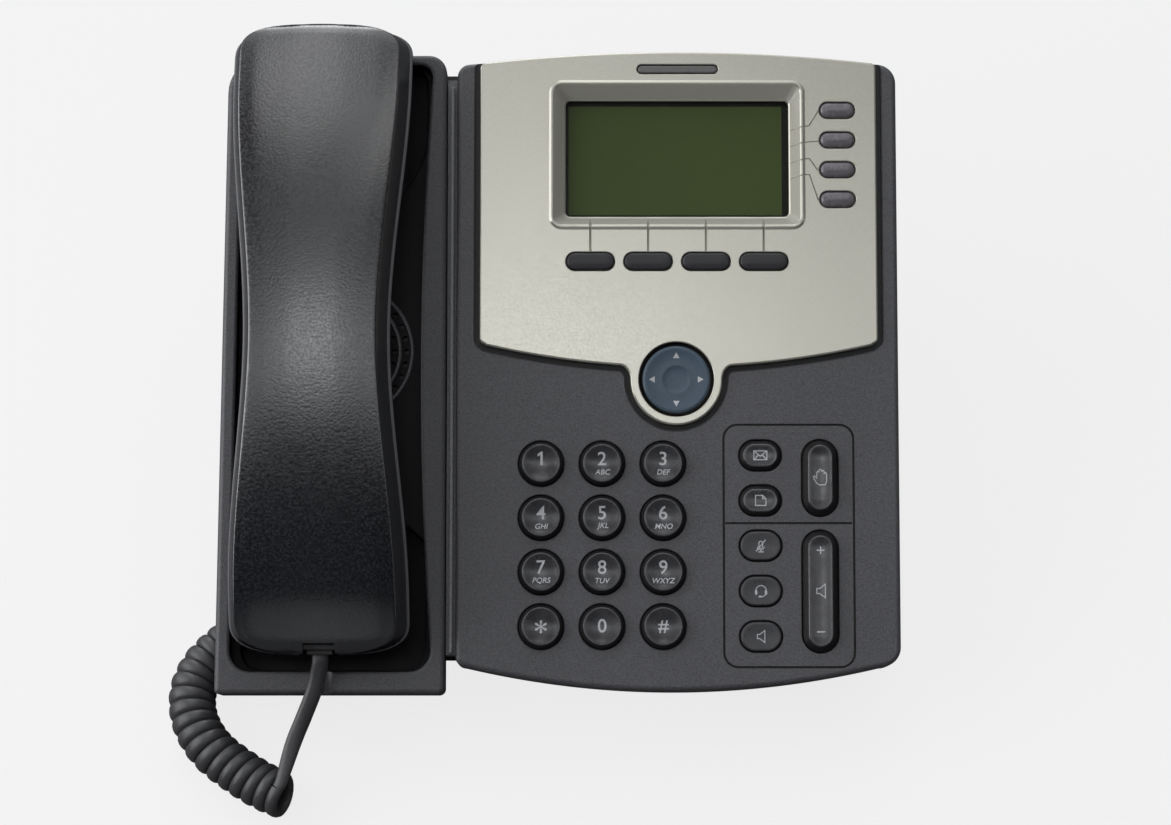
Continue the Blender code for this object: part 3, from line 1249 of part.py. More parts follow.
def fit_receiver(shell, name, y, radius, thickness):
    """Pocket in the front shell, sound holes through its cap, and the capsule on the pocket floor."""
    floor = CAP_UNDER + WALL
    steps = ROUND_STEPS if radius > SOUND_HOLE_RING else 8
    cut(shell, prism(circle(radius + 2.0 * SLIDE, steps, (0.0, y)), floor, HANDSET_CREST))
    places = [(0.0, y)]
    if radius > SOUND_HOLE_RING:
        places += circle(SOUND_HOLE_RING, 6, (0.0, y))
    for place in places:
        cut(shell, prism(circle(SOUND_HOLE_RADIUS, 6, place), CAP_UNDER - WALL, floor + WALL / 2.0))
    prism(circle(radius, steps), floor + SEAT, floor + SEAT + thickness).place(
        name, DARK_STEEL, HANDSET, (0.0, y, 0.0))


def plug_size():
    return (CORD_JACK_MOUTH[0] - 2.0 * SLIDE, CORD_PLUG_LENGTH, CORD_JACK_MOUTH[1] - 2.0 * SLIDE)


def fit_handset_jack(back_shell, front_shell):
    """Jack in the handset's lower end, with the cord's plug in it."""
    wide, deep, tall = CORD_JACK_SIZE
    end = -HANDSET_LENGTH / 2.0
    start = end + HANDSET_JACK_SETBACK
    low, high = HANDSET_JACK_W - tall / 2.0, HANDSET_JACK_W + tall / 2.0
    for shell in (back_shell, front_shell):
        cut(shell, block((-wide / 2.0 - SLIDE, end - WALL, low - SLIDE),
                         (wide / 2.0 + SLIDE, start + deep + SLIDE, high + SLIDE)))
    jack = block((-wide / 2.0, start, low), (wide / 2.0, start + deep, high)).place(
        "handset_jack", SOCKET_BLACK, HANDSET)
    mouth_wide, mouth_tall, mouth_deep = CORD_JACK_MOUTH
    cut(jack, block((-mouth_wide / 2.0, start - WALL, HANDSET_JACK_W - mouth_tall / 2.0),
                    (mouth_wide / 2.0, start + mouth_deep, HANDSET_JACK_W + mouth_tall / 2.0)))
    wide, length, tall = plug_size()
    plug_end = start + mouth_deep - SEAT
    block((-wide / 2.0, plug_end - length, HANDSET_JACK_W - tall / 2.0),
          (wide / 2.0, plug_end, HANDSET_JACK_W + tall / 2.0)).place("handset_plug", CLEAR_PLUG, HANDSET)


def base_plug_end():
    """The v of the base plug's cord end."""
    return WELL_BACK + SEAT + CORD_JACK_MOUTH[2] - SEAT - CORD_PLUG_LENGTH


def make_base_plug():
    wide, length, tall = plug_size()
    w = SOCKET_TOP - CORD_JACK_SIZE[2] / 2.0
    v = base_plug_end()
    block((-wide / 2.0, v, w - tall / 2.0), (wide / 2.0, v + length, w + tall / 2.0)).place(
        "base_plug", CLEAR_PLUG, location=(BASE_JACK_U, 0.0, 0.0))
    return w


def cord_route(places):
    return [Vector((CRADLE_LEFT + x, y, z)) for x, y, z in places]


def spline(points, spacing):
    """Evenly spaced points on a smooth curve through the given points."""
    fine = []
    for i in range(len(points) - 1):
        a, b = points[max(i - 1, 0)], points[i]
        c, d = points[i + 1], points[min(i + 2, len(points) - 1)]
        for k in range(24):
            t = k / 24.0
            fine.append(0.5 * (2.0 * b + (c - a) * t + (2.0 * a - 5.0 * b + 4.0 * c - d) * t * t
                               + (3.0 * b - a - 3.0 * c + d) * t ** 3))
    fine.append(points[-1])
    runs = [0.0]
    for a, b in zip(fine, fine[1:]):
        runs.append(runs[-1] + (b - a).length)
    count = max(round(runs[-1] / spacing), 2)
    even, at = [], 0
    for k in range(count + 1):
        goal = runs[-1] * k / count
        while at < len(fine) - 2 and runs[at + 1] < goal:
            at += 1
        share = (goal - runs[at]) / (runs[at + 1] - runs[at])
        even.append(fine[at].lerp(fine[at + 1], share))
    return even


def tube(name, points, resolution):
    """One cord stretch as a round tube with closed ends."""
    data = bpy.data.curves.new(name, "CURVE")
    data.dimensions = "3D"
    data.bevel_depth = WIRE / 2.0
    data.bevel_resolution = resolution
    data.use_fill_caps = True
    line = data.splines.new("POLY")
    line.points.add(len(points) - 1)
    for target, point in zip(line.points, points):
        target.co = (*point, 1.0)
    data.materials.append(CORD_BLACK)
    made = bpy.data.objects.new(name, data)
    bpy.context.scene.collection.objects.link(made)
    made.parent = PHONE
    return made


def coil_points():
    """Helix of the curly cord about its route, both ends leaving over the top of the coil."""
    radius = (CURL_OUTER - WIRE) / 2.0
    spacing = CURL_PITCH / CURL_POINTS
    route = spline(cord_route(COIL_ROUTE), spacing)
    turns = (len(route) - 1) // CURL_POINTS
    route = route[:turns * CURL_POINTS + 1]
    points = []
    for i, here in enumerate(route):
        ahead = (route[min(i + 1, len(route) - 1)] - route[max(i - 1, 0)]).normalized()
        side = Vector((-ahead.y, ahead.x, 0.0)).normalized()
        up = ahead.cross(side)
        turn = CURL_END_TURN + (math.tau * turns - 2.0 * CURL_END_TURN) * i / (len(route) - 1)
        points.append(here + (up * math.cos(turn) + side * math.sin(turn)) * radius)
        along = (side * math.cos(turn) - up * math.sin(turn)) * WIRE
        if i == 0:
            points.insert(0, points[0] - along)
    points.append(points[-1] + along)
    return points


def least_gap(points, skip):
    """Least clear distance of a tube to itself, away from its own neighbours."""
    least = 1.0
    fine = [a.lerp(b, k / 3.0) for a, b in zip(points, points[1:]) for k in range(3)]
    for i, here in enumerate(fine):
        for other in fine[i + 3 * skip:i + 3 * skip * 4]:
            least = min(least, (here - other).length)
    return least - WIRE


def make_cord():
    """Curly handset cord: lead from the handset, the coil, and the tail to the base socket."""
    plug_w = make_base_plug()
    coil = coil_points()
    print("least gap between curls, mm:", round(1000.0 * least_gap(coil, CURL_POINTS // 2), 2))
    tube("cord_coil", coil, 1)
    end = HANDSET_V - HANDSET_LENGTH / 2.0 + HANDSET_JACK_SETBACK + CORD_JACK_MOUTH[2] - SEAT
    lead_v = end - CORD_PLUG_LENGTH - SEAT
    lead = [Vector((HANDSET_U, *on_desk(lead_v - part * WIRE, HANDSET_JACK_W))) for part in (0.0, 1.0)]
    lead += cord_route(LEAD_ROUTE)
    approach = (coil[1] - coil[0]).normalized()
    lead += [coil[0] - approach * (SEAT + part * WIRE) for part in (1.0, 0.0)]
    tube("cord_lead", spline(lead, WIRE), 2)
    depart = (coil[-1] - coil[-2]).normalized()
    tail = [coil[-1] + depart * (SEAT + part * WIRE) for part in (0.0, 1.0)]
    tail += cord_route(TAIL_ROUTE)
    tail_v = base_plug_end() - SEAT
    tail += [Vector((BASE_JACK_U, *on_desk(tail_v - part * WIRE, plug_w))) for part in (1.0, 0.0)]
    tube("cord_tail", spline(tail, WIRE), 2)


CORD_PIECES = ("cord_lead", "cord_coil", "cord_tail", "base_plug", "handset_plug")


def centre_on_desk():
    """Moves the whole phone so that the middle of its footprint is the origin."""
    bpy.context.view_layer.update()
    places = [piece.matrix_world @ vertex.co for piece in bpy.data.objects
              if piece.type == "MESH" and piece.name not in CORD_PIECES for vertex in piece.data.vertices]
    for axis in (0, 1):
        values = [place[axis] for place in places]
        PHONE.location[axis] = -(min(values) + max(values)) / 2.0


make_front_housing()
make_cradle_housing()
make_faceplate()
make_display()
make_deck_keys()
make_plate_keys()
make_rockers()
make_board()
make_sockets()
make_rear_cover()
make_stand()
make_feet()
make_speaker_and_hook()
make_handset()
make_cord()
centre_on_desk()
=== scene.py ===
"""Looks of the desk telephone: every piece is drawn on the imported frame.

Pieces on the console and cradle are drawn in millimetres on the face: u runs right, v up
the slope and w out of it, with w = 0 on the key deck.
"""

import math

import bmesh
import bpy
from mathutils import Matrix, Vector


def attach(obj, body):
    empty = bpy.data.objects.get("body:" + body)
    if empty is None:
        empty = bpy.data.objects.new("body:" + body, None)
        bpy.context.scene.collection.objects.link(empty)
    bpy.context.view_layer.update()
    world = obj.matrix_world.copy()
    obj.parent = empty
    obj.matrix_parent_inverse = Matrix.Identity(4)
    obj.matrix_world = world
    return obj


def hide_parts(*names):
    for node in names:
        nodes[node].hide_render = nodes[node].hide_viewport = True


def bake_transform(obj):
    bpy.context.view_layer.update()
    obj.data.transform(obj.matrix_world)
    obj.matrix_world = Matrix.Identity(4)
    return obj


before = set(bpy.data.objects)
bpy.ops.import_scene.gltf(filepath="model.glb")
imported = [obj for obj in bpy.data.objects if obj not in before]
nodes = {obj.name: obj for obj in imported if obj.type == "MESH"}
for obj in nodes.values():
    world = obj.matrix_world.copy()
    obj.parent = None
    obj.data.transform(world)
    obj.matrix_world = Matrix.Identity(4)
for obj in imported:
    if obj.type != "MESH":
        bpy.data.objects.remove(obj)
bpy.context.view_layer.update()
scene = bpy.context.scene
scene.view_settings.view_transform = "Standard"

MM = 0.001
TILT = math.radians(25.0)
FACE_RAISE = 0.0265
HANDSET_U, HANDSET_V = -72.9, 109.0
PHONE = Matrix.Translation((-9e-06, -0.093903, 0.0))
FACE = (PHONE @ Matrix.Translation((0.0, 0.0, FACE_RAISE)) @ Matrix.Rotation(TILT, 4, "X")
        @ Matrix.Scale(MM, 4))
HANDSET = FACE @ Matrix.Translation((HANDSET_U, HANDSET_V, 0.0))

# Camera at the photograph's viewing angle
camera = bpy.data.objects.new("camera", bpy.data.cameras.new("camera"))
scene.collection.objects.link(camera)
camera.location = (0.00856, -0.5901, 1.0010)
camera.rotation_euler = (math.radians(31.5), 0.0, 0.0)
camera.data.sensor_fit = "HORIZONTAL"
camera.data.sensor_width = 36.0
camera.data.lens = 108.79
camera.data.clip_start = 0.01
camera.data.clip_end = 30.0
scene.camera = camera

# Finishes
NOISE_SPAN = (0.35, 0.65)
DRIFT_SIZE = 60.0
GLOSS_SWING = 0.05
RELIEF_DEPTH = MM * 0.12
WHITE = (1.0, 1.0, 1.0)


def linear(value):
    value /= 255.0
    return value / 12.92 if value <= 0.04045 else ((value + 0.055) / 1.055) ** 2.4


def rgb(red, green, blue):
    return tuple(linear(value) for value in (red, green, blue)) + (1.0,)


def add(tree, kind, links=(), **settings):
    """A shader node; each input named in links takes a value or another node's output."""
    made = tree.nodes.new(kind)
    for key, value in settings.items():
        setattr(made, key, value)
    for socket, value in dict(links).items():
        if isinstance(value, bpy.types.NodeSocket):
            tree.links.new(value, made.inputs[socket])
        else:
            made.inputs[socket].default_value = value
    return made


def moulded(name, colour, roughness, grain, contrast, relief, drift=0.05, **sockets):
    """Moulded plastic: speckled grain in millimetres, a slow drift of shade, uneven gloss, a fine relief."""
    made = bpy.data.materials.new(name)
    made.use_nodes = True
    tree = made.node_tree
    shader = tree.nodes["Principled BSDF"]
    for socket, value in sockets.items():
        shader.inputs[socket.replace("_", " ")].default_value = value
    place = add(tree, "ShaderNodeTexCoord").outputs["Object"]
    noises, shades = [], []
    for size, detail, base, swing in ((grain, 3.0, colour, contrast), (DRIFT_SIZE, 2.0, WHITE, drift)):
        links = {"Vector": place, "Scale": 1.0 / MM / size, "Detail": detail}
        noises.append(add(tree, "ShaderNodeTexNoise", links).outputs["Fac"])
        ramp = add(tree, "ShaderNodeValToRGB", {"Fac": noises[-1]})
        for stop, side, at in zip(ramp.color_ramp.elements, (-1.0, 1.0), NOISE_SPAN):
            stop.color = tuple(value * (1.0 + side * swing) for value in base[:3]) + (1.0,)
            stop.position = at
        shades.append(ramp.outputs["Color"])
    tint = add(tree, "ShaderNodeMix", {"Factor": 1.0, 6: shades[0], 7: shades[1]},
               data_type="RGBA", blend_type="MULTIPLY")
    gloss = add(tree, "ShaderNodeMapRange", {
        "Value": noises[0], "From Min": NOISE_SPAN[0], "From Max": NOISE_SPAN[1],
        "To Min": roughness - GLOSS_SWING, "To Max": roughness + GLOSS_SWING})
    bump = add(tree, "ShaderNodeBump", {"Height": noises[0], "Strength": relief, "Distance": RELIEF_DEPTH})
    tree.links.new(tint.outputs[2], shader.inputs["Base Color"])
    tree.links.new(gloss.outputs["Result"], shader.inputs["Roughness"])
    tree.links.new(bump.outputs["Normal"], shader.inputs["Normal"])
    return made


CHARCOAL = moulded("charcoal", rgb(86, 86, 90), 0.42, 0.55, 0.25, 0.7)
HANDSET_SKIN = moulded("handset_charcoal", rgb(24, 25, 31), 0.21, 0.8, 0.30, 0.36,
                       Specular_IOR_Level=1.0, IOR=1.65)
# Light grey on the handset's seam ledge: a painted highlight along the edge.
SEAM_HIGHLIGHT_GREY = moulded("handset_seam_highlight", rgb(96, 96, 100), 0.35, 0.4, 0.10, 0.2)
CRADLE_SKIN = moulded("cradle_charcoal", rgb(80, 80, 84), 0.44, 0.55, 0.25, 0.7)
# Near-black on the cradle's bay walls, floor, pockets and sound holes: painted shade in the recess.
BAY_PAINTED_SHADE = moulded("cradle_bay_painted_shade", rgb(17, 17, 21), 0.50, 0.55, 0.20, 0.5, Specular_IOR_Level=0.2)
RIB_GREY = moulded("flange_rib", rgb(126, 126, 130), 0.40, 0.55, 0.20, 0.5)
COVER_SKIN = moulded("cover_charcoal", rgb(58, 58, 61), 0.62, 0.7, 0.16, 0.5)
SILVER = moulded("silver", rgb(194, 192, 181), 0.20, 0.45, 0.05, 0.02, 0.02, Metallic=0.5)
SLOPE_SILVER = moulded("frame_silver", rgb(186, 184, 174), 0.35, 0.25, 0.03, 0.02, 0.02, Metallic=0.1)
KEY_TOP = moulded("key_top", rgb(58, 58, 62), 0.25, 3.0, 0.05, 0.02, Specular_IOR_Level=0.9)
KEY_FLUSH = moulded("key_flush", rgb(64, 64, 68), 0.32, 1.5, 0.05, 0.05)
# Black of the key skirts; the console's plate seat and panel grooves take it too, as painted shade.
SKIRT_BLACK_AND_GROOVE_SHADE = moulded("key_skirt_and_groove_shade", rgb(17, 17, 18), 0.45, 0.8, 0.15, 0.2)
SOFT_BLACK = moulded("soft_key", rgb(47, 47, 50), 0.34, 1.2, 0.08, 0.05)
LINE_GREY = moulded("line_key", rgb(112, 107, 113), 0.26, 2.5, 0.06, 0.03, Coat_Weight=0.3)
LAMP_GREY = moulded("lamp", rgb(98, 96, 96), 0.22, 2.0, 0.06, 0.03, Coat_Weight=0.4)
SLATE = moulded("slate", rgb(72, 89, 105), 0.38, 0.6, 0.08, 0.12)
LEGEND = moulded("legend", rgb(196, 198, 202), 0.5, 0.6, 0.05, 0.05)
LCD_GREEN = moulded("lcd_green", rgb(76, 91, 46), 0.40, 1.1, 0.02, 0.0, 0.03, Specular_IOR_Level=0.15)
# Black border of the display module, partly its own border and partly painted shade.
LCD_BORDER_AND_SHADE = moulded("lcd_border_and_shade", rgb(16, 17, 16), 0.40, 1.5, 0.08, 0.0, Specular_IOR_Level=0.15)
RUBBER = moulded("rubber", rgb(30, 30, 30), 0.85, 0.5, 0.2, 0.5)
STEEL = moulded("plated_steel", rgb(150, 150, 152), 0.34, 0.4, 0.08, 0.08, 0.03, Metallic=0.9)
SOCKET_BLACK = moulded("socket_black", rgb(24, 24, 25), 0.42, 0.9, 0.12, 0.15)
BOARD_GREEN = moulded("board_green", rgb(22, 84, 52), 0.45, 1.5, 0.12, 0.1)
PLUG_CLEAR = moulded("plug_clear", rgb(150, 154, 156), 0.14, 3.0, 0.04, 0.02, Coat_Weight=0.5)
VINYL = moulded("cord_vinyl", rgb(64, 64, 66), 0.40, 0.9, 0.10, 0.12)
GLASS = moulded("display_glass", rgb(70, 76, 60), 0.07, 8.0, 0.02, 0.0, Alpha=0.06, Specular_IOR_Level=0.3)


# Drawing on the face
def arc(centre, radius, start, end, steps):
    turn = (end - start) / steps
    return [Vector((centre[0] + radius * math.cos(start + turn * i),
                    centre[1] + radius * math.sin(start + turn * i))) for i in range(steps + 1)]


def circle(radius, steps=48, centre=(0.0, 0.0)):
    return arc(centre, radius, 0.0, math.tau, steps)[:-1]


def outline(corners, steps=10, bow_steps=36):
    """Closed anticlockwise outline; each corner is (u, v, radius, outward bow of its next edge)."""
    rounds = []
    for i, (u, v, radius, _) in enumerate(corners):
        here = Vector((u, v))
        back = (Vector(corners[i - 1][:2]) - here).normalized()
        ahead = (Vector(corners[(i + 1) % len(corners)][:2]) - here).normalized()
        half = back.angle(ahead) / 2.0
        centre = here + (back + ahead).normalized() * (radius / math.sin(half))
        first = here + back * (radius / math.tan(half)) - centre
        start = math.atan2(first.y, first.x)
        turn = math.copysign(math.pi - 2.0 * half, ahead.cross(back))
        rounds.append(arc(centre, radius, start, start + turn, steps))
    points = []
    for i, corner in enumerate(rounds):
        points += corner
        bow = corners[i][3]
        if bow:
            a, b = corner[-1], rounds[(i + 1) % len(rounds)][0]
            outward = Vector((b.y - a.y, a.x - b.x)).normalized()
            for k in range(1, bow_steps):
                t = k / bow_steps
                points.append(a.lerp(b, t) + outward * bow * 4.0 * t * (1.0 - t))
    return points


def rectangle(centre, size, corner, steps=8):
    half_u, half_v = size[0] / 2.0, size[1] / 2.0
    return outline([(centre[0] + su * half_u, centre[1] + sv * half_v, corner, 0.0)
                    for su, sv in ((-1, -1), (1, -1), (1, 1), (-1, 1))], steps)


def stadium(size, centre=(0.0, 0.0), steps=16):
    radius = min(size) / 2.0
    reach = max(size) / 2.0 - radius
    along, start = ((reach, 0.0), -math.pi / 2.0) if size[0] > size[1] else ((0.0, reach), 0.0)
    far, near = Vector(centre) + Vector(along), Vector(centre) - Vector(along)
    return (arc(far, radius, start, start + math.pi, steps)
            + arc(near, radius, start + math.pi, start + math.tau, steps))


def inset(loop, distance):
    """The same outline drawn inwards, or outwards for a negative distance."""
    moved = []
    for i, here in enumerate(loop):
        back = (here - loop[i - 1]).normalized()
        ahead = (loop[(i + 1) % len(loop)] - here).normalized()
        side = Vector((-back.y - ahead.y, back.x + ahead.x)).normalized()
        stretch = max(side.dot(Vector((-ahead.y, ahead.x))), 0.5)
        moved.append(here + side * (distance / stretch))
    return moved


ROUND = [math.radians(a) for a in (0.0, 8.0, 24.0, 45.0, 66.0, 82.0, 90.0)]
SHARP = math.radians(38.0)


def edge(loop, w, radius, sign=1.0):
    """Levels of a rounded rim, from the flat down to the side; sign -1 rounds the rim of a hole."""
    return [(inset(loop, sign * radius * (1.0 - math.sin(a))), w - radius * (1.0 - math.cos(a)))
            for a in ROUND]


class Skin:
    """Collects rings of points and the faces between them; flat faces are kept flat in shading."""

    def __init__(self, finish=0):
        self.mesh = bmesh.new()
        self.finish = finish

    def ring(self, loop, w):
        return [self.mesh.verts.new((point[0], point[1], w)) for point in loop]

    def section(self, points):
        return [self.mesh.verts.new(point) for point in points]

    def face(self, corners, smooth):
        made = self.mesh.faces.new(corners)
        made.smooth = smooth
        made.material_index = self.finish

    def wall(self, rings, smooth=True):
        for lower, upper in zip(rings, rings[1:]):
            for i in range(len(lower)):
                self.face((lower[i - 1], lower[i], upper[i], upper[i - 1]), smooth)

    def rings(self, levels):
        made = [self.ring(loop, w) for loop, w in levels]
        self.wall(made)
        return made

    def cap(self, ring, smooth=False):
        self.face(ring, smooth)

    def fill(self, rings):
        """Flat faces between an outer ring and the rings of its holes."""
        edges = []
        for ring in rings:
            for i in range(len(ring)):
                pair = (ring[i - 1], ring[i])
                edges.append(self.mesh.edges.get(pair) or self.mesh.edges.new(pair))
        made = bmesh.ops.triangle_fill(self.mesh, use_beauty=True, use_dissolve=False, edges=edges)
        for item in made["geom"]:
            if isinstance(item, bmesh.types.BMFace):
                item.smooth = False
                item.material_index = self.finish

    def holes(self, loops, w, radius, under):
        """Rounded holes from a flat at w; gives their upper rims and their lower rims."""
        made = [self.rings(edge(loop, w, radius, -1.0) + [(loop, under)]) for loop in loops]
        return [rings[0] for rings in made], [rings[-1] for rings in made]

    def tube(self, rings):
        self.wall(rings)
        self.cap(rings[0])
        self.cap(rings[-1])
        return self

    def stack(self, levels):
        return self.tube([self.ring(loop, w) for loop, w in levels])

    def prism(self, loop, low, high):
        return self.stack([(loop, low), (loop, high)])

    def box(self, low, high):
        corners = ((low[0], low[1]), (high[0], low[1]), (high[0], high[1]), (low[0], high[1]))
        return self.prism(corners, low[2], high[2])

    def two_tone(self, skirt, crown):
        """A key's dark skirt and its top in the first finish; gives the top's last ring."""
        self.finish = 1
        sides = self.rings(skirt)
        self.cap(sides[0])
        self.finish = 0
        tops = [sides[-1]] + [self.ring(loop, w) for loop, w in crown]
        self.wall(tops)
        return tops[-1]

    def place(self, name, finishes=(), matrix=FACE, closed=True):
        if closed:
            bmesh.ops.recalc_face_normals(self.mesh, faces=self.mesh.faces)
        data = bpy.data.meshes.new(name)
        self.mesh.to_mesh(data)
        self.mesh.free()
        data.transform(matrix)
        for finish in finishes:
            data.materials.append(finish)
        crease(data)
        made = bpy.data.objects.new(name, data)
        scene.collection.objects.link(made)
        return made


def crease(data):
    """Marks the sharp edges of a mesh and keeps its flat faces flat."""
    smooth = [polygon.use_smooth for polygon in data.polygons]
    data.set_sharp_from_angle(angle=SHARP)
    data.polygons.foreach_set("use_smooth", smooth)


def cut(piece, skin, matrix=FACE):
    """Takes a solid out of a piece."""
    tool = skin.place("tool", piece.data.materials[:], matrix)
    change = piece.modifiers.new("cut", "BOOLEAN")
    change.operation = "DIFFERENCE"
    change.object = tool
    change.solver = "EXACT"
    graph = bpy.context.evaluated_depsgraph_get()
    result = bpy.data.meshes.new_from_object(piece.evaluated_get(graph))
    piece.modifiers.clear()
    piece.data = result
    square = (FACE.to_3x3() @ Vector((0.0, 0.0, 1.0))).normalized()
    for polygon in result.polygons:
        if abs(polygon.normal.dot(square)) > 0.9999:
            polygon.use_smooth = False
    crease(result)
    bpy.data.objects.remove(tool, do_unlink=True)


def dress(piece, body, slot, *stands_for):
    """The piece rides on a body and may stand for solids, which it hides; its slot is not used."""
    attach(piece, body)
    if stands_for:
        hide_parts(*stands_for)
    return piece


def smooth_line(points, steps):
    """A denser smooth line through the given points."""
    dense = []
    for i in range(len(points) - 1):
        a, b = Vector(points[max(i - 1, 0)]), Vector(points[i])
        c, d = Vector(points[i + 1]), Vector(points[min(i + 2, len(points) - 1)])
        for k in range(steps):
            t = k / steps
            dense.append(0.5 * (2.0 * b + (c - a) * t + (2.0 * a - 5.0 * b + 4.0 * c - d) * t * t
                                + (3.0 * b - a - 3.0 * c + d) * t ** 3))
    return dense + [Vector(points[-1])]


def heading(points, i):
    """Direction of a line of points at one of them."""
    return (points[min(i + 1, len(points) - 1)] - points[max(i - 1, 0)]).normalized()


def eased(t):
    t = min(max(t, 0.0), 1.0)
    return t * t * (3.0 - 2.0 * t)


# Handset cord: routes in metres from the phone's own origin, sockets on the face
def phone_points(points):
    return [PHONE @ Vector(point) for point in points]


COIL_ROUTE = phone_points((
    (-0.0844, -0.0269, 0.0094), (-0.0906, -0.0235, 0.0082), (-0.0982, -0.0184, 0.0077),
    (-0.1075, -0.0106, 0.0077), (-0.1133, -0.0008, 0.0077), (-0.1146, 0.0095, 0.0077),
    (-0.1113, 0.0188, 0.0077), (-0.1045, 0.0265, 0.0077), (-0.0955, 0.0335, 0.0077),
    (-0.0855, 0.0410, 0.0077), (-0.0745, 0.0485, 0.0077), (-0.0625, 0.0555, 0.0077),
    (-0.0500, 0.0615, 0.0077), (-0.0370, 0.0660, 0.0077), (-0.0240, 0.0690, 0.0077),
    (-0.0110, 0.0710, 0.0077)))
LEAD_ROUTE = phone_points(((-0.0736, 0.0036, 0.0320), (-0.0748, -0.0002, 0.0284),
                           (-0.0782, -0.0070, 0.0230), (-0.0814, -0.0142, 0.0194)))
TAIL_ROUTE = phone_points(((-0.0136, 0.0800, 0.0162), (-0.0142, 0.0858, 0.0198),
                           (-0.0152, 0.0905, 0.0262), (-0.0162, 0.0943, 0.0350),
                           (-0.0177, 0.0965, 0.0440), (-0.0183, 0.0995, 0.0520)))
BASE_SOCKET = (-18.3, 119.0, -14.7)
HANDSET_SOCKET = (HANDSET_U, 11.0, 5.0)
PLUG_RUN = 2.5
WIRE = 0.0025
WIRE_WIDTH = 0.0050
WIRE_SIDES = 12
CURL_RADIUS = 0.00625
CURL_PITCH = 0.0043
CURL_STEPS = 24
CURL_COARSE = 8
CURL_END_TURN = math.radians(12.0)
CURL_WIDTH = 0.0055
CURL_GAP = 0.00005


def spline(points, spacing):
    """Evenly spaced points on a smooth curve through the given points."""
    fine = smooth_line(points, 24)
    runs = [0.0]
    for a, b in zip(fine, fine[1:]):
        runs.append(runs[-1] + (b - a).length)
    count = max(round(runs[-1] / spacing), 2)
    even, at = [], 0
    for k in range(count + 1):
        goal = runs[-1] * k / count
        while at < len(fine) - 2 and runs[at + 1] < goal:
            at += 1
        share = (goal - runs[at]) / (runs[at + 1] - runs[at])
        even.append(fine[at].lerp(fine[at + 1], share))
    return even


def coil_line():
    """Helix about the route, with the direction from the route to each of its points."""
    coarse = spline(COIL_ROUTE, CURL_PITCH / CURL_COARSE)
    turns = (len(coarse) - 1) // CURL_COARSE
    route = spline(coarse[:turns * CURL_COARSE + 1], CURL_PITCH / CURL_STEPS)
    points, outs = [], []
    for i, here in enumerate(route):
        ahead = heading(route, i)
        side = Vector((-ahead.y, ahead.x, 0.0)).normalized()
        up = ahead.cross(side)
        turn = CURL_END_TURN + (math.tau * turns - 2.0 * CURL_END_TURN) * i / (len(route) - 1)
        out = up * math.cos(turn) + side * math.sin(turn)
        points.append(here + out * CURL_RADIUS)
        outs.append(out)
    return points, outs


def sweep(name, points, outs, widths):
    """Oval cord along a line; each section is WIRE thick along its out direction and widths[i] across."""
    skin = Skin()
    rings = []
    for i, here in enumerate(points):
        ahead = heading(points, i)
        across = ahead.cross(outs[i]).normalized()
        out = across.cross(ahead)
        rings.append(skin.section([
            here + out * (WIRE / 2.0 * math.cos(math.tau * k / WIRE_SIDES))
            + across * (widths[i] / 2.0 * math.sin(math.tau * k / WIRE_SIDES)) for k in range(WIRE_SIDES)]))
    return skin.tube(rings).place(name, (VINYL,), Matrix.Identity(4))


def carried(points, first):
    """An out direction for each point of a plain cord, kept square to the line."""
    outs, out = [], Vector(first)
    for i in range(len(points)):
        ahead = heading(points, i)
        out = (out - ahead * out.dot(ahead)).normalized()
        outs.append(out)
    return outs


def out_of(socket, distance):
    return FACE @ Vector((socket[0], socket[1] - distance, socket[2]))


def make_cord():
    """Curly cord with its tail to the base socket, and the lead from the handset's socket to the coil."""
    coil, coil_outs = coil_line()
    base_plug = out_of(BASE_SOCKET, 0.0)
    leave = (coil[-1] - coil[-2]).normalized()
    tail = [coil[-1], coil[-1] + leave * WIRE] + TAIL_ROUTE + [out_of(BASE_SOCKET, PLUG_RUN), base_plug]
    tail = spline(tail, WIRE * 0.5)[1:]
    line = coil + tail
    outs = coil_outs + carried(tail, coil_outs[-1])
    widths = []
    for i in range(len(line)):
        near = [(line[i] - line[k]).length for k in (i - CURL_STEPS, i + CURL_STEPS) if 0 <= k < len(coil)]
        limits = [CURL_WIDTH if near else WIRE_WIDTH] + [gap - CURL_GAP for gap in near]
        widths.append(max(min(limits), WIRE))
    cord = sweep("curly_cord", line, outs, widths)
    dress(cord, "base", "cord", "cord_coil", "cord_tail")
    exit_point = out_of(HANDSET_SOCKET, 0.0)
    arrive = (coil[1] - coil[0]).normalized()
    lead = [exit_point, out_of(HANDSET_SOCKET, PLUG_RUN)] + LEAD_ROUTE
    lead += [coil[0] - arrive * (part * WIRE) for part in (1.0, 0.1)]
    lead = spline(lead, WIRE * 0.5)
    outs, lead_widths = [], []
    for i, out in enumerate(carried(lead, (0.0, 0.0, 1.0))):
        near_coil = eased(2.5 * i / (len(lead) - 1) - 1.5)
        outs.append(out.lerp(coil_outs[0], near_coil))
        lead_widths.append(WIRE_WIDTH + (widths[0] - WIRE_WIDTH) * near_coil)
    piece = sweep("handset_lead", lead, outs, lead_widths)
    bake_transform(piece)
    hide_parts("cord_lead")


make_cord()

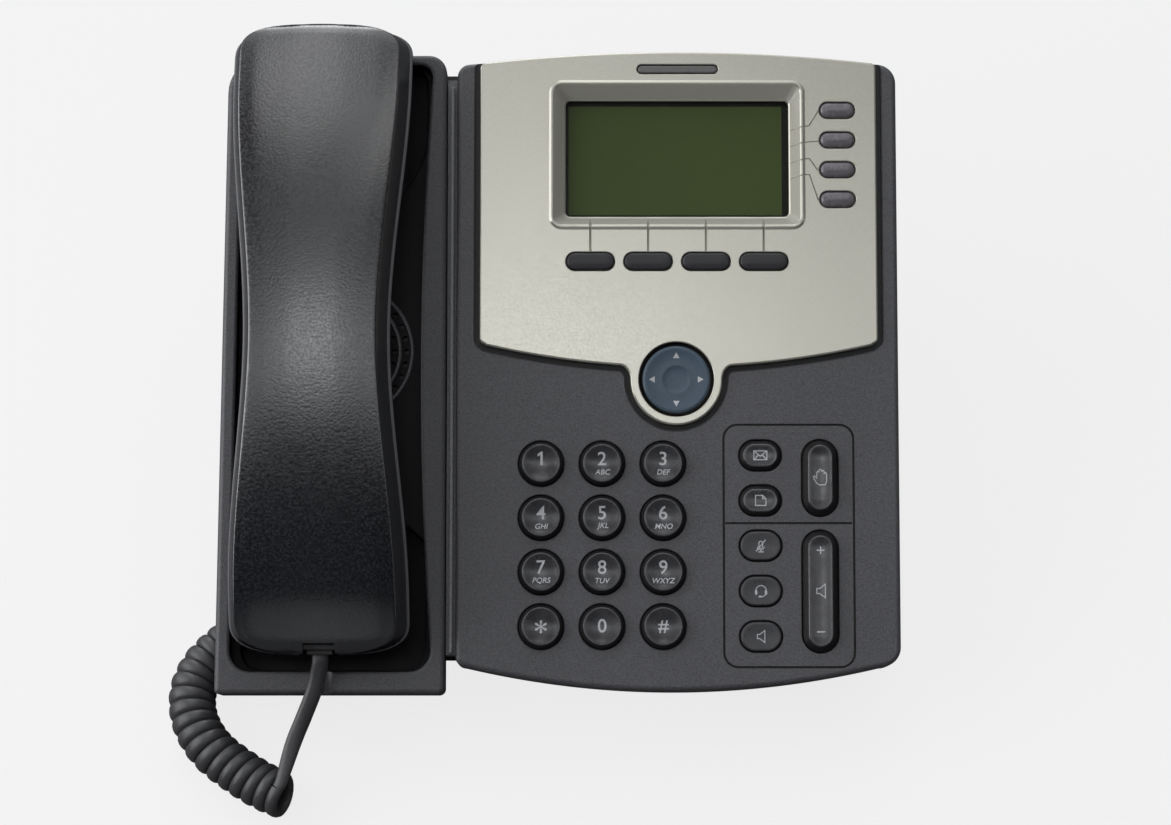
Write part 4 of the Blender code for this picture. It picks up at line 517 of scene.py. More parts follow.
# Console: places and holes of the keys, and the outlines of its parts
DIAL_ROWS = (("star", "0", "hash"), ("7", "8", "9"), ("4", "5", "6"), ("1", "2", "3"))
DIAL_FIRST, DIAL_PITCH = (-5.2, 20.1), (18.9, 16.85)
DIAL_PLACES = {name: (DIAL_FIRST[0] + DIAL_PITCH[0] * column, DIAL_FIRST[1] + DIAL_PITCH[1] * row)
               for row, names in enumerate(DIAL_ROWS) for column, name in enumerate(names)}
FUNCTION_FIRST, FUNCTION_PITCH = (62.8, 17.05), 14.04
FUNCTION_PLACES = {name: (FUNCTION_FIRST[0], FUNCTION_FIRST[1] + FUNCTION_PITCH * row)
                   for row, name in enumerate(("speaker", "headset", "mute", "setup", "message"))}
SOFT_FIRST, SOFT_PITCH = (10.07, 133.9), 18.05
SOFT_PLACES = [(SOFT_FIRST[0] + SOFT_PITCH * i, SOFT_FIRST[1]) for i in range(4)]
LINE_FIRST, LINE_PITCH = (87.4, 153.5), 9.43
LINE_PLACES = [(LINE_FIRST[0], LINE_FIRST[1] + LINE_PITCH * i) for i in reversed(range(4))]
HOLD_PLACE = (81.3, 66.2)
VOLUME_PLACE = (81.2, 31.0)
LAMP_PLACE = (37.4, 194.9)
NAV_PLACE = (36.8, 96.9)
DIAL_HOLE = 7.2
FUNCTION_HOLE = (13.6, 10.0)
HOLD_HOLE = (11.5, 24.2)
VOLUME_HOLE = (11.5, 38.3)
SOFT_HOLE = (15.4, 5.9)
LINE_HOLE = (11.4, 5.4)
LAMP_HOLE = (25.5, 3.05)
CONSOLE_LEFT, CONSOLE_RIGHT = -31.6, 106.0
CONSOLE = outline([(CONSOLE_LEFT, 7.8, 3.0, 7.5), (CONSOLE_RIGHT, 7.8, 6.0, 0.0),
                   (CONSOLE_RIGHT, 197.0, 6.0, 2.8), (CONSOLE_LEFT, 197.0, 4.0, 0.0)])
WINDOW_PLACE = (37.3, 167.1)
FRAME = rectangle((37.25, 167.7), (79.7, 47.0), 3.8)
WINDOW = rectangle(WINDOW_PLACE, (70.0, 36.8), 1.5)
SKIRT = -16.0
SHELL_WALL = 2.0
SHELL_ROUND = 1.5
DECK_UNDER = -3.0
PLATE_GAP = 1.6
PLATE_SEAT = -1.3
KEY_STEPS, PAD_STEPS = 48, 64
DECK_HOLE_ROUND = 0.35
NAV_WELL = 13.6
LAMP_WELL = (26.1, 3.65)
FRAME_WELL_GAP = 0.9
SOFT_WELL = rectangle((37.145, 133.9), (71.95, 8.3), 2.0)
LINE_WELL = rectangle((87.4, 167.645), (13.8, 36.09), 2.0)
PANEL = rectangle((71.55, 45.2), (40.3, 75.2), 4.4)
GROOVE = ((-0.36, 0.1), (-0.2, -0.6), (0.2, -0.6), (0.36, 0.1))
DIVIDER_V, DIVIDER_ENDS = 52.15, (51.9, 91.2)
HEADSET_PLACE = (CONSOLE_RIGHT, 60.0, -9.0)
HEADSET_HOLE, HEADSET_DEPTH = 3.5, 4.0
FLANGE_LOW, FLANGE_HIGH = (-34.7, 11.5, -15.7), (-31.8, 192.5, -4.0)
RIB_PLACE, RIB_SIZE, RIB_TOP = (-33.15, 100.9), (1.3, 178.2), -1.1


def fillet(before, start, end, after):
    """Points that ease from one run of an outline into the next, both ends left out."""
    first = (start - before).normalized() * (end - start).length
    last = (after - end).normalized() * (end - start).length
    points = []
    for k in range(1, 8):
        t = k / 8.0
        points.append(start * (2 * t ** 3 - 3 * t ** 2 + 1) + first * (t ** 3 - 2 * t ** 2 + t)
                      + end * (3 * t ** 2 - 2 * t ** 3) + last * (t ** 3 - t ** 2))
    return points


def plate_loop():
    """Faceplate outline, whose front edge swells round the navigation pad."""
    left, right, front, back, corner = -24.4, 99.6, 108.0, 197.0, 1.8
    sag, lobe_radius, ease = 7.3, 14.3, 3.6
    half, middle = (right - left) / 2.0, (right + left) / 2.0

    def front_edge(u):
        across = (u - middle) / half
        return Vector((u, front - sag * (1.0 - across * across)))

    rise = front_edge(NAV_PLACE[0]).y - NAV_PLACE[1]
    reach = math.sqrt(lobe_radius ** 2 - rise ** 2)
    crossing = math.asin(rise / lobe_radius)
    easing = ease / lobe_radius
    runs = []
    for side in (-1.0, 1.0):
        end = NAV_PLACE[0] + side * (reach + ease)
        far = middle + side * (half - corner)
        run = [front_edge(far + (end - far) * k / 24.0) for k in range(25)]
        angle = math.pi if side < 0.0 else math.tau
        turn = arc((far, front + corner), corner, angle, angle - side * math.pi / 2.0, 8)
        runs.append(turn[:-1] + run)
    lobe = arc(NAV_PLACE, lobe_radius, math.pi - crossing + easing, math.tau + crossing - easing, 48)
    ease_in = fillet(runs[0][-2], runs[0][-1], lobe[0], lobe[1])
    ease_out = fillet(lobe[-2], lobe[-1], runs[1][-1], runs[1][-2])
    sides = outline([(right, front, corner, 0.0), (right, back, corner, 3.4), (left, back, corner, 0.0),
                     (left, front, corner, 0.0)], 8)
    return runs[0] + ease_in + lobe + ease_out + runs[1][::-1] + sides[9:-9]


PLATE = plate_loop()


def shell_rings(skin, loop, under):
    """A shell's rounded rim, its skirt and its inner wall, from the rim inwards."""
    inner = inset(loop, SHELL_WALL)
    return skin.rings(edge(loop, 0.0, SHELL_ROUND) + [(loop, SKIRT + 0.3), (inset(loop, 0.3), SKIRT),
                                                      (inner, SKIRT), (inner, under)])


def make_front_housing():
    """Console shell with rounded rim, key holes, plate seat, panel lines and headset socket hole; the seat
    well and the panel lines are painted black as painted shade.
    """
    skin = Skin()
    shell = shell_rings(skin, CONSOLE, DECK_UNDER)
    holes = [circle(DIAL_HOLE, KEY_STEPS, place) for place in DIAL_PLACES.values()]
    holes += [stadium(FUNCTION_HOLE, place) for place in FUNCTION_PLACES.values()]
    holes += [stadium(HOLD_HOLE, HOLD_PLACE), stadium(VOLUME_HOLE, VOLUME_PLACE)]
    holes += [circle(NAV_WELL, PAD_STEPS, NAV_PLACE), stadium(LAMP_WELL, LAMP_PLACE)]
    holes += [inset(FRAME, -FRAME_WELL_GAP), SOFT_WELL, LINE_WELL]
    tops, bottoms = skin.holes(holes, 0.0, DECK_HOLE_ROUND, DECK_UNDER)
    skin.fill([shell[0]] + tops)
    skin.fill([shell[-1]] + bottoms)
    housing = skin.place("console_shell", (CHARCOAL, SKIRT_BLACK_AND_GROOVE_SHADE))
    seat = inset(PLATE, -PLATE_GAP)
    # The seat well's floor and lower walls take the black finish: painted shade round the plate.
    tool = Skin(1)
    well = tool.rings([(seat, PLATE_SEAT), (seat, -0.6)])
    tool.cap(well[0])
    tool.finish = 0
    rounding = ((0.2, -0.2), (0.55, 0.05), (0.6, 1.0))
    rim = [well[1]] + [tool.ring(inset(seat, -out), w) for out, w in rounding]
    tool.wall(rim)
    tool.cap(rim[-1])
    cut(housing, tool)
    # The panel lines and the divider are painted black inside, as painted shade in the grooves.
    groove = Skin(1)
    rings = groove.rings([(inset(PANEL, side), w) for side, w in GROOVE])
    groove.wall([rings[-1], rings[0]])
    cut(housing, groove)
    divider = Skin(1)
    divider.tube([divider.section([(u, DIVIDER_V + v, w) for v, w in GROOVE]) for u in DIVIDER_ENDS])
    cut(housing, divider)
    socket = FACE @ Matrix.Translation(HEADSET_PLACE) @ Matrix.Rotation(math.pi / 2.0, 4, "Y")
    cut(housing, Skin().prism(circle(HEADSET_HOLE, 32), -HEADSET_DEPTH, HEADSET_DEPTH), socket)
    dress(housing, "base", "charcoal", "front_housing")


def make_flange():
    """Flange of the console that fills the groove beside the cradle, with its long thin rib."""
    skin = Skin().box(FLANGE_LOW, FLANGE_HIGH)
    rib = stadium(RIB_SIZE, RIB_PLACE, 8)
    skin.stack([(rib, FLANGE_HIGH[2])] + edge(rib, RIB_TOP, 0.5)[::-1])
    dress(skin.place("ribbed_flange", (RIB_GREY,)), "base", "charcoal")


make_front_housing()
make_flange()

# Cradle
CRADLE = outline([(-106.0, -0.6, 1.5, 0.0), (-35.0, -0.6, 2.0, 0.0), (-35.0, 199.8, 5.6, 0.0),
                  (-103.6, 199.8, 12.0, 0.0)])
OPENING = outline([(-101.4, 6.3, 6.5, 0.0), (-39.5, 6.3, 6.5, -3.3), (-39.5, 196.6, 4.0, 0.0),
                   (-99.0, 196.6, 9.0, 0.0)])
OPENING_ROUND = 1.1
POCKET_LEFT, POCKET_RIGHT = -98.4, -41.25
EAR_V = 178.0
BAY_FLOOR, POCKET_FLOOR, CRADLE_UNDER = -7.0, -12.0, -14.0
POCKET_ROUND = 0.5
HOOK_SLOT = (11.8, 5.0)
GRILLE, GRILLE_UNDER = (-66.9, 106.7), -9.0
SPEAKER_SEAT, SOUND_SLOT = 23.1, 0.85
GRILLE_RIDGES = (21.8, 18.0, 14.2, 10.4, 6.6, 2.8)
GRILLE_HOLES = ((19.5, 30), (15.7, 24), (11.9, 18), (8.1, 12), (4.3, 6))
RIDGE = ((0.0, 0.0), (-0.25, 0.35), (-0.7, 0.35), (-1.0, 0.0))
NOTCH = ((-4.2, 1.0), (-3.2, -0.5), (-2.2, -1.1), (0.0, -1.2), (2.2, -1.1), (3.2, -0.5), (4.2, 1.0))
NOTCH_ENDS = (-2.6, 8.3)


def ear_pocket():
    """A circle towards the handle, cut off by the sides and the back of the opening."""
    u, radius = -72.0, 31.0
    start = math.tau - math.acos((POCKET_LEFT - u) / radius)
    end = math.tau - math.acos((POCKET_RIGHT - u) / radius)
    corners = outline([(POCKET_LEFT, EAR_V, 0.6, 0.0), (POCKET_RIGHT, EAR_V, 0.6, 0.0),
                       (POCKET_RIGHT, 196.0, 4.0, 0.0), (POCKET_LEFT, 196.0, 9.0, 0.0)])
    return arc((u, EAR_V), radius, start, end, 48) + corners[22:]


def mouth_pocket():
    return outline([(POCKET_LEFT, 6.9, 6.5, 0.0), (POCKET_RIGHT, 6.9, 6.5, 0.0),
                    (POCKET_RIGHT, 47.0, 0.6, 14.0), (POCKET_LEFT, 47.0, 0.6, 0.0)])


def make_cradle():
    """Cradle shell: rounded rim, finger bay with the grille, ear and mouth pockets, cord notch; the bay is
    painted near-black as painted shade.
    """
    skin = Skin()
    shell = shell_rings(skin, CRADLE, CRADLE_UNDER)
    rim = edge(OPENING, 0.0, OPENING_ROUND, -1.0)
    lip = skin.rings(rim[:-2])
    skin.fill([shell[0], lip[0]])
    # The bay's walls, floor, pockets and sound holes are painted near-black as painted shade.
    skin.finish = 1
    bay = [lip[-1]] + [skin.ring(loop, w) for loop, w in rim[-2:] + [(OPENING, BAY_FLOOR)]]
    skin.wall(bay)
    pockets = (ear_pocket(), mouth_pocket())
    (ear, mouth), (ear_floor, mouth_floor) = skin.holes(pockets, BAY_FLOOR, POCKET_ROUND, POCKET_FLOOR)
    skin.cap(mouth_floor)
    slot = rectangle((HANDSET_U, EAR_V), HOOK_SLOT, 0.3, 2)
    hook = skin.rings([(slot, POCKET_FLOOR), (slot, CRADLE_UNDER)])
    skin.fill([ear_floor, hook[0]])
    skin.finish = 0
    ridges = [skin.rings([(circle(radius + side, 72, GRILLE), BAY_FLOOR + rise) for side, rise in RIDGE])
              for radius in GRILLE_RIDGES]
    skin.finish = 1
    bands, backs = [], []
    for radius, count in GRILLE_HOLES:
        holes = [circle(SOUND_SLOT, 10, centre) for centre in circle(radius, count, GRILLE)]
        made = [skin.rings([(hole, BAY_FLOOR), (hole, GRILLE_UNDER)]) for hole in holes]
        bands.append([rings[0] for rings in made])
        backs += [rings[1] for rings in made]
    skin.fill([bay[-1], ear, mouth, ridges[0][0]])
    for outer, inner, band in zip(ridges, ridges[1:], bands):
        skin.fill([outer[-1], inner[0]] + band)
    skin.cap(ridges[-1][-1])
    seat = circle(SPEAKER_SEAT, 48, GRILLE)
    well = skin.rings([(seat, GRILLE_UNDER), (seat, CRADLE_UNDER)])
    skin.fill([well[0]] + backs)
    skin.finish = 0
    skin.fill([shell[-1], well[1], hook[1]])
    cradle = skin.place("cradle_shell", (CRADLE_SKIN, BAY_PAINTED_SHADE))
    notch = Skin()
    notch.tube([notch.section([(HANDSET_U + u, v, w) for u, w in NOTCH]) for v in NOTCH_ENDS])
    cut(cradle, notch)
    dress(cradle, "base", "charcoal", "cradle_housing")


make_cradle()

# Faceplate and display
PLATE_TOP, PLATE_UNDER = 1.6, -1.0
PLATE_ROUND, PLATE_HOLE_ROUND = 0.6, 0.3
NAV_HOLE = 11.7
BEAD = ((-0.25, 0.0), (0.05, 0.1), (0.3, 0.3), (0.65, 0.4), (1.0, 0.34), (1.35, 0.12))
BEAD_INNER, BEAD_TOP = PLATE_TOP + 0.15, PLATE_TOP + 0.4
SOFT_GROOVE = ((148.7, -2.1), (145.5, BEAD_INNER), (144.85, BEAD_TOP), (144.1, PLATE_TOP),
               (137.1, PLATE_TOP))
LINE_STARTS = (176.6, 171.5, 166.2, 161.2)
LINE_GROOVE = ((72.8, -0.6, -1.9), (75.7, -0.2, BEAD_INNER), (76.5, 0.0, BEAD_TOP), (77.4, 0.1, PLATE_TOP),
               (78.6, 0.3, PLATE_TOP))
SOFT_CUT, LINE_CUT = (1.0, 0.45), (0.6, 0.35)
SILL = ((inset(WINDOW, -0.5), -2.05), (inset(WINDOW, -0.15), -2.2), (WINDOW, -2.4), (WINDOW, DECK_UNDER),
        (inset(FRAME, -0.3), DECK_UNDER), (inset(FRAME, -0.3), PLATE_UNDER))
LCD_SIZE, LCD_BACK, LCD_FRONT = (76.0, 42.8), -7.9, -4.85
# The green field sits left of and below the window's middle, so the black border shows wider at the right
# and the top: partly the module's own border, partly painted shade.
FIELD = rectangle((36.75, 166.9), (67.0, 34.6), 0.3, 2)
LENS_SIZE, LENS_BACK, LENS_FRONT = (72.0, 38.8), -4.5, -3.3
LAMP_SHOULDER, LAMP_TOP, LAMP_ROUND = 0.9, 1.5, 0.5
KEY_GAP = 0.3


def vee(tool, points, width, depth):
    """Adds a V groove along a line of (u, v, w) points to a cutting solid."""
    lift, sink = Vector((0.0, 0.0, 0.12)), Vector((0.0, 0.0, depth))
    rings = []
    last = len(points) - 1
    for i, here in enumerate(points):
        a, b = Vector(points[max(i - 1, 0)]), Vector(points[min(i + 1, last)])
        side = Vector((a.y - b.y, b.x - a.x, 0.0)).normalized() * (width / 2.0)
        here = Vector(here)
        rings.append(tool.section([here - side + lift, here + side + lift, here - sink]))
    tool.tube(rings)


def make_faceplate():
    """Silver plate: rounded edge, display frame with a raised bead and sloped sides, engraved key lines."""
    skin = Skin()
    outer = skin.rings(edge(PLATE, PLATE_TOP, PLATE_ROUND) + [(PLATE, PLATE_UNDER)])
    holes = [stadium(SOFT_HOLE, place) for place in SOFT_PLACES]
    holes += [stadium(LINE_HOLE, place) for place in LINE_PLACES]
    holes += [stadium(LAMP_HOLE, LAMP_PLACE), circle(NAV_HOLE, PAD_STEPS, NAV_PLACE)]
    tops, bottoms = skin.holes(holes, PLATE_TOP, PLATE_HOLE_ROUND, PLATE_UNDER)
    rim = skin.rings([(inset(FRAME, side), PLATE_TOP + rise) for side, rise in BEAD])
    sill = skin.rings(SILL)
    skin.finish = 1
    skin.wall([rim[-1], sill[0]], False)
    skin.finish = 0
    skin.fill([outer[0], rim[0]] + tops)
    skin.fill([outer[-1], sill[-1]] + bottoms)
    plate = skin.place("silver_plate", (SILVER, SLOPE_SILVER))
    tool = Skin()
    for u, _ in SOFT_PLACES:
        vee(tool, [(u, v, w) for v, w in SOFT_GROOVE], *SOFT_CUT)
    for start, (u, v) in zip(LINE_STARTS, LINE_PLACES):
        run = [(x, start + y, w) for x, y, w in LINE_GROOVE] + [(u - 6.0, v - 0.4, PLATE_TOP)]
        vee(tool, run, *LINE_CUT)
    cut(plate, tool)
    dress(plate, "base", "silver", "faceplate")


def make_display():
    """Display module with its black border, partly painted shade, and green field, a clear window over it,
    and the lamp.
    """
    skin = Skin()
    body = rectangle(WINDOW_PLACE, LCD_SIZE, 1.5)
    skin.stack([(body, LCD_BACK), (body, LCD_FRONT - 0.1), (inset(body, 0.1), LCD_FRONT)])
    skin.finish = 1
    skin.prism(FIELD, LCD_FRONT, LCD_FRONT + 0.04)
    dress(skin.place("lcd", (LCD_BORDER_AND_SHADE, LCD_GREEN)), "base", "lcd", "lcd_module")
    lens = rectangle(WINDOW_PLACE, LENS_SIZE, 2.5)
    window = Skin().stack([(lens, LENS_BACK), (lens, LENS_FRONT - 0.1), (inset(lens, 0.1), LENS_FRONT)])
    dress(window.place("lens", (GLASS,)), "base", "window", "display_window")
    slot = inset(stadium(LAMP_HOLE, LAMP_PLACE), KEY_GAP)
    lamp = Skin().stack([(slot, DECK_UNDER), (slot, LAMP_SHOULDER)]
                        + edge(slot, LAMP_TOP, LAMP_ROUND)[::-1][1:])
    dress(lamp.place("lamp_lens", (LAMP_GREY,)), "base", "line_key", "message_lamp")


make_faceplate()
make_display()


# Legends, drawn flat and laid on the key tops
def letters(text, size, place, shear=0.0, bold=0.0):
    """Faces of a printed word, centred on a place."""
    curve = bpy.data.curves.new("word", "FONT")
    curve.body = text
    curve.size = size
    curve.shear = shear
    curve.offset = bold
    curve.align_x = "CENTER"
    curve.align_y = "CENTER"
    curve.resolution_u = 4
    word = bpy.data.objects.new("word", curve)
    scene.collection.objects.link(word)
    graph = bpy.context.evaluated_depsgraph_get()
    data = bpy.data.meshes.new_from_object(word.evaluated_get(graph))
    places = [(v.co.x, v.co.y) for v in data.vertices]
    faces = [tuple(p.vertices) for p in data.polygons]
    bpy.data.objects.remove(word, do_unlink=True)
    bpy.data.meshes.remove(data)
    middle = [(min(p[i] for p in places) + max(p[i] for p in places)) / 2.0 for i in (0, 1)]
    return [(x - middle[0] + place[0], y - middle[1] + place[1]) for x, y in places], faces


def stroke(points, width=0.34, closed=False):
    """A printed line through points."""
    points = [Vector(point) for point in points]
    count = len(points)
    left, right = [], []
    for i, here in enumerate(points):
        before = points[i - 1] if i or closed else here
        after = points[(i + 1) % count] if i + 1 < count or closed else here
        first, second = here - before, after - here
        first = (first if first.length else second).normalized()
        second = (second if second.length else first).normalized()
        side = Vector((-first.y - second.y, first.x + second.x)).normalized()
        side *= width / 2.0 / max(side.dot(Vector((-first.y, first.x))), 0.5)
        left.append(here + side)
        right.append(here - side)
    faces = []
    for i in range(count if closed else count - 1):
        after = (i + 1) % count
        faces.append((i, after, count + after, count + i))
    return [tuple(p) for p in left + right], faces


def shape(points):
    return [tuple(p) for p in points], [tuple(range(len(points)))]


def moved(marks, place, scale=1.0):
    return [([(x * scale + place[0], y * scale + place[1]) for x, y in places], faces)
            for places, faces in marks]


def print_on(name, body, place, marks, top, rise=0.03):
    """One legend of several marks, laid on a key top whose height is top(x, y)."""
    skin = Skin()
    for places, faces in marks:
        made = skin.section([(place[0] + x, place[1] + y, top(x, y) + rise) for x, y in places])
        for face in faces:
            skin.face([made[i] for i in face], False)
    bmesh.ops.triangulate(skin.mesh, faces=skin.mesh.faces)
    for face in skin.mesh.faces:
        face.normal_update()
        if face.normal.z < 0.0:
            face.normal_flip()
    dress(skin.place(name, (LEGEND,), closed=False), body, "key")


# Keys
DIAL_WORDS = {"2": "ABC", "3": "DEF", "4": "GHI", "5": "JKL", "6": "MNO", "7": "PQRS", "8": "TUV",
              "9": "WXYZ"}
SIGNS = {"star": "*", "hash": "#"}
SIGN_SIZES = {"star": 9.0, "hash": 5.4}
DIGIT_SIZE, DIGIT_HIGH = 5.9, 1.45
WORD_SIZE, WORD_PLACE = 2.35, (0.2, -2.75)
ICON_SCALE, VOLUME_REACH = 0.92, 12.6
ONE = (((-0.2, -0.6), (0.5, -0.6), (0.5, 3.6), (-0.2, 3.6)),
       ((-1.1, 2.05), (-0.2, 2.6), (-0.2, 3.45), (-1.1, 2.8)))
DIAL_SKIRT = ((7.8, -4.8), (7.8, -3.3), (6.9, -3.3), (6.9, -0.3), (6.85, 0.0), (6.7, 0.2), (6.05, 1.85),
              (5.95, 2.0))
DIAL_RIM = ((5.93, 2.2), (5.85, 2.34), (5.7, 2.4), (5.5, 2.4))
DIAL_TOP, DISH_RADIUS, DISH_DEPTH = 2.4, 5.5, 0.85
FLANGE_LIP = 0.6
TOP_ROUND = 0.42
KEY_FLANGE = (-4.8, -3.3)
VOLUME_FLANGE = (-5.3, -4.5)
RAISED = (KEY_TOP, 1.1, 1.0, -0.3, 0.35)
FLUSH = (KEY_FLUSH, 0.3, 0.6, -0.1, 0.2)
TALL = (KEY_TOP, 1.6, 2.4, 0.0, 0.5)
PLATE_KEY_TOP, PLATE_KEY_CROWN = 2.1, 0.2
PLATE_FLANGE = (-2.8, -1.3)
STEM_RADIUS, STEM_END = 1.5, -6.8
NAV_SKIRT = ((12.8, -3.0), (12.8, -2.2), (11.3, -2.2), (11.3, 0.0), (11.2, 0.3), (10.5, 0.85))
NAV_CROWN = ((10.25, 1.1), (10.0, 1.25), (9.7, 1.3), (9.1, 1.16), (7.2, 0.82), (5.2, 0.78), (4.6, 0.84),
             (4.3, 0.82), (3.9, 0.66), (3.0, 0.46), (1.5, 0.39))
ARROW = ((-1.25, 6.3), (1.25, 6.3), (0.0, 8.5))


def bowl(part):
    """Depth of a dish from its rim (0) to its middle (1)."""
    return 1.0 - (1.0 - part) ** 2


def turned(place, profile, steps):
    return [(circle(radius, steps, place), w) for radius, w in profile]


def dial_top(x, y):
    return DIAL_TOP - DISH_DEPTH * max(1.0 - (x * x + y * y) / DISH_RADIUS ** 2, 0.0)


def make_dial_keys():
    """Round keys: black skirt, dished glossy top and printed legend."""
    radii = [DISH_RADIUS * k / 8.0 for k in range(7, 0, -1)]
    crown = DIAL_RIM + tuple((radius, dial_top(radius, 0.0)) for radius in radii)
    for name, place in DIAL_PLACES.items():
        skin = Skin()
        skin.cap(skin.two_tone(turned(place, DIAL_SKIRT, KEY_STEPS), turned(place, crown, KEY_STEPS)), True)
        body = "key_" + name
        dress(skin.place("dial_" + name, (KEY_TOP, SKIRT_BLACK_AND_GROOVE_SHADE)), body, "key", body)
        high = 0.2 if name == "0" else -0.1 if name in SIGNS else DIGIT_HIGH
        size = SIGN_SIZES.get(name, DIGIT_SIZE)
        if name == "1":
            marks = [shape(part) for part in ONE]
        else:
            marks = [letters(SIGNS.get(name, name), size, (0.0, high), bold=0.05)]
        if name in DIAL_WORDS:
            marks.append(letters(DIAL_WORDS[name], WORD_SIZE, WORD_PLACE, 0.2, 0.02))
        print_on("legend_" + name, body, place, marks, dial_top)


def make_key(name, body, place, size, style, flange=KEY_FLANGE):
    """A long key: black skirt, and a top with a rounded rim and a dish; gives the top's height."""
    finish, step, proud, shoulder, dish = style
    hole = stadium(size, place)
    wide, sides = inset(hole, -FLANGE_LIP), inset(hole, KEY_GAP)
    top = inset(sides, step)
    inner = min(size) / 2.0 - KEY_GAP - step - TOP_ROUND
    skirt = [(wide, flange[0]), (wide, flange[1]), (sides, flange[1]), (sides, shoulder - 0.2),
             (inset(sides, 0.1), shoulder), (inset(top, -0.05), proud - 0.5)]
    crown = edge(top, proud, TOP_ROUND)[::-1]
    crown += [(inset(top, TOP_ROUND + inner * part), proud - dish * bowl(part))
              for part in (0.25, 0.5, 0.75, 0.93)]
    skin = Skin()
    skin.fill([skin.two_tone(skirt, crown)])
    dress(skin.place(name, (finish, SKIRT_BLACK_AND_GROOVE_SHADE)), body, "key", body)
    half = (max(size) - min(size)) / 2.0

    def height(x, y):
        along, across = (x, y) if size[0] > size[1] else (y, x)
        away = math.hypot(max(abs(along) - half, 0.0), across)
        return proud - dish * bowl(min(max((inner - away) / inner, 0.0), 1.0))

    return height


ENVELOPE = [stroke([(-2.2, -1.5), (2.2, -1.5), (2.2, 1.5), (-2.2, 1.5)], closed=True),
            stroke([(-2.1, 1.4), (0.0, -0.3), (2.1, 1.4)]), stroke([(-2.1, -1.4), (-0.6, 0.15)]),
            stroke([(2.1, -1.4), (0.6, 0.15)])]
PAGE = [stroke([(-1.7, -1.7), (1.8, -1.7), (1.8, 0.6), (0.7, 1.7), (-1.7, 1.7)], closed=True),
        stroke([(0.7, 1.6), (0.7, 0.6), (1.7, 0.6)])]
CAPSULE = arc((0.0, 0.9), 0.62, 0.0, math.pi, 8) + arc((0.0, -0.3), 0.62, math.pi, math.tau, 8)
MICROPHONE = [stroke(CAPSULE, 0.32, True), stroke(arc((0.0, -0.3), 1.15, math.pi, math.tau, 12), 0.28),
              stroke([(0.0, -1.45), (0.0, -2.1)], 0.3), stroke([(-1.0, -2.1), (1.0, -2.1)], 0.3),
              stroke([(-1.6, -1.9), (1.6, 2.0)])]
HEADSET = [stroke(arc((0.0, 0.1), 1.75, math.radians(-20.0), math.radians(200.0), 24), 0.3),
           shape(stadium((0.8, 1.7), (-1.65, -0.45), 6)), shape(stadium((0.8, 1.7), (1.65, -0.45), 6)),
           stroke(arc((0.0, -0.2), 1.75, math.radians(250.0), math.radians(330.0), 10), 0.3),
           shape(stadium((1.1, 0.6), (-0.3, -1.85), 5))]
CONE = [stroke([(-1.3, 0.7), (-0.5, 0.7), (1.2, 2.0), (1.2, -2.0), (-0.5, -0.7), (-1.3, -0.7)], 0.3, True)]
HAND = [stroke([(-0.4, -2.3), (1.5, -2.3), (1.9, -1.2), (1.9, 1.2), (1.5, 1.5), (1.2, 1.2), (1.15, 1.9),
                (0.8, 2.2), (0.45, 1.9), (0.4, 2.3), (0.0, 2.55), (-0.4, 2.3), (-0.45, 1.7), (-0.8, 1.9),
                (-1.1, 1.6), (-1.15, -0.3), (-1.7, 0.4), (-2.2, 0.3), (-1.9, -0.6), (-1.2, -1.7)],
               0.3, True)]
PLUS = [stroke([(-1.2, 0.0), (1.2, 0.0)], 0.42), stroke([(0.0, -1.2), (0.0, 1.2)], 0.42)]
MINUS = [stroke([(-1.3, 0.0), (1.3, 0.0)], 0.42)]
ICONS = {"message": ENVELOPE, "setup": PAGE, "mute": MICROPHONE, "headset": HEADSET, "speaker": CONE}


def make_function_keys():
    """Function keys, the hold key and the volume rocker, with their printed signs."""
    for name, place in FUNCTION_PLACES.items():
        body = "key_" + name
        style = RAISED if name in ("message", "setup") else FLUSH
        height = make_key("function_" + name, body, place, FUNCTION_HOLE, style)
        print_on("sign_" + name, body, place, moved(ICONS[name], (0.0, 0.0), ICON_SCALE), height)
    height = make_key("hold", "key_hold", HOLD_PLACE, HOLD_HOLE, TALL)
    print_on("sign_hold", "key_hold", HOLD_PLACE, HAND, height)
    height = make_key("volume", "volume_rocker", VOLUME_PLACE, VOLUME_HOLE, TALL, VOLUME_FLANGE)
    marks = moved(PLUS, (0.0, VOLUME_REACH)) + moved(CONE, (0.1, 0.0), 1.05)
    marks += moved(MINUS, (0.0, -VOLUME_REACH))
    print_on("sign_volume", "volume_rocker", VOLUME_PLACE, marks, height)


def make_plate_keys():
    """Soft keys and line keys, with crowned tops, in the silver plate."""
    low, high = PLATE_FLANGE
    sets = (("softkey_", SOFT_HOLE, SOFT_PLACES, SOFT_BLACK, "softkey", 0.7),
            ("line_key_", LINE_HOLE, LINE_PLACES, LINE_GREY, "line_key", 1.3))
    for prefix, size, places, finish, slot, rim in sets:
        inner = min(size) / 2.0 - KEY_GAP - rim
        for i, place in enumerate(places):
            skin = Skin()
            hole = stadium(size, place)
            wide, sides = inset(hole, -FLANGE_LIP), inset(hole, KEY_GAP)
            levels = [(wide, low), (wide, high), (sides, high)] + edge(sides, PLATE_KEY_TOP, rim)[::-1]
            levels += [(inset(sides, rim + inner * part), PLATE_KEY_TOP + PLATE_KEY_CROWN * bowl(part))
                       for part in (0.3, 0.6, 0.92)]
            rings = skin.rings(levels)
            skin.cap(rings[0])
            skin.fill([rings[-1]])
            skin.prism(circle(STEM_RADIUS, 16, place), STEM_END, low)
            name = prefix + str(i + 1)
            dress(skin.place("top_" + name, (finish,)), name, slot, name)


def nav_top(x, y):
    return 0.82 + 0.17 * (math.hypot(x, y) - 7.2)


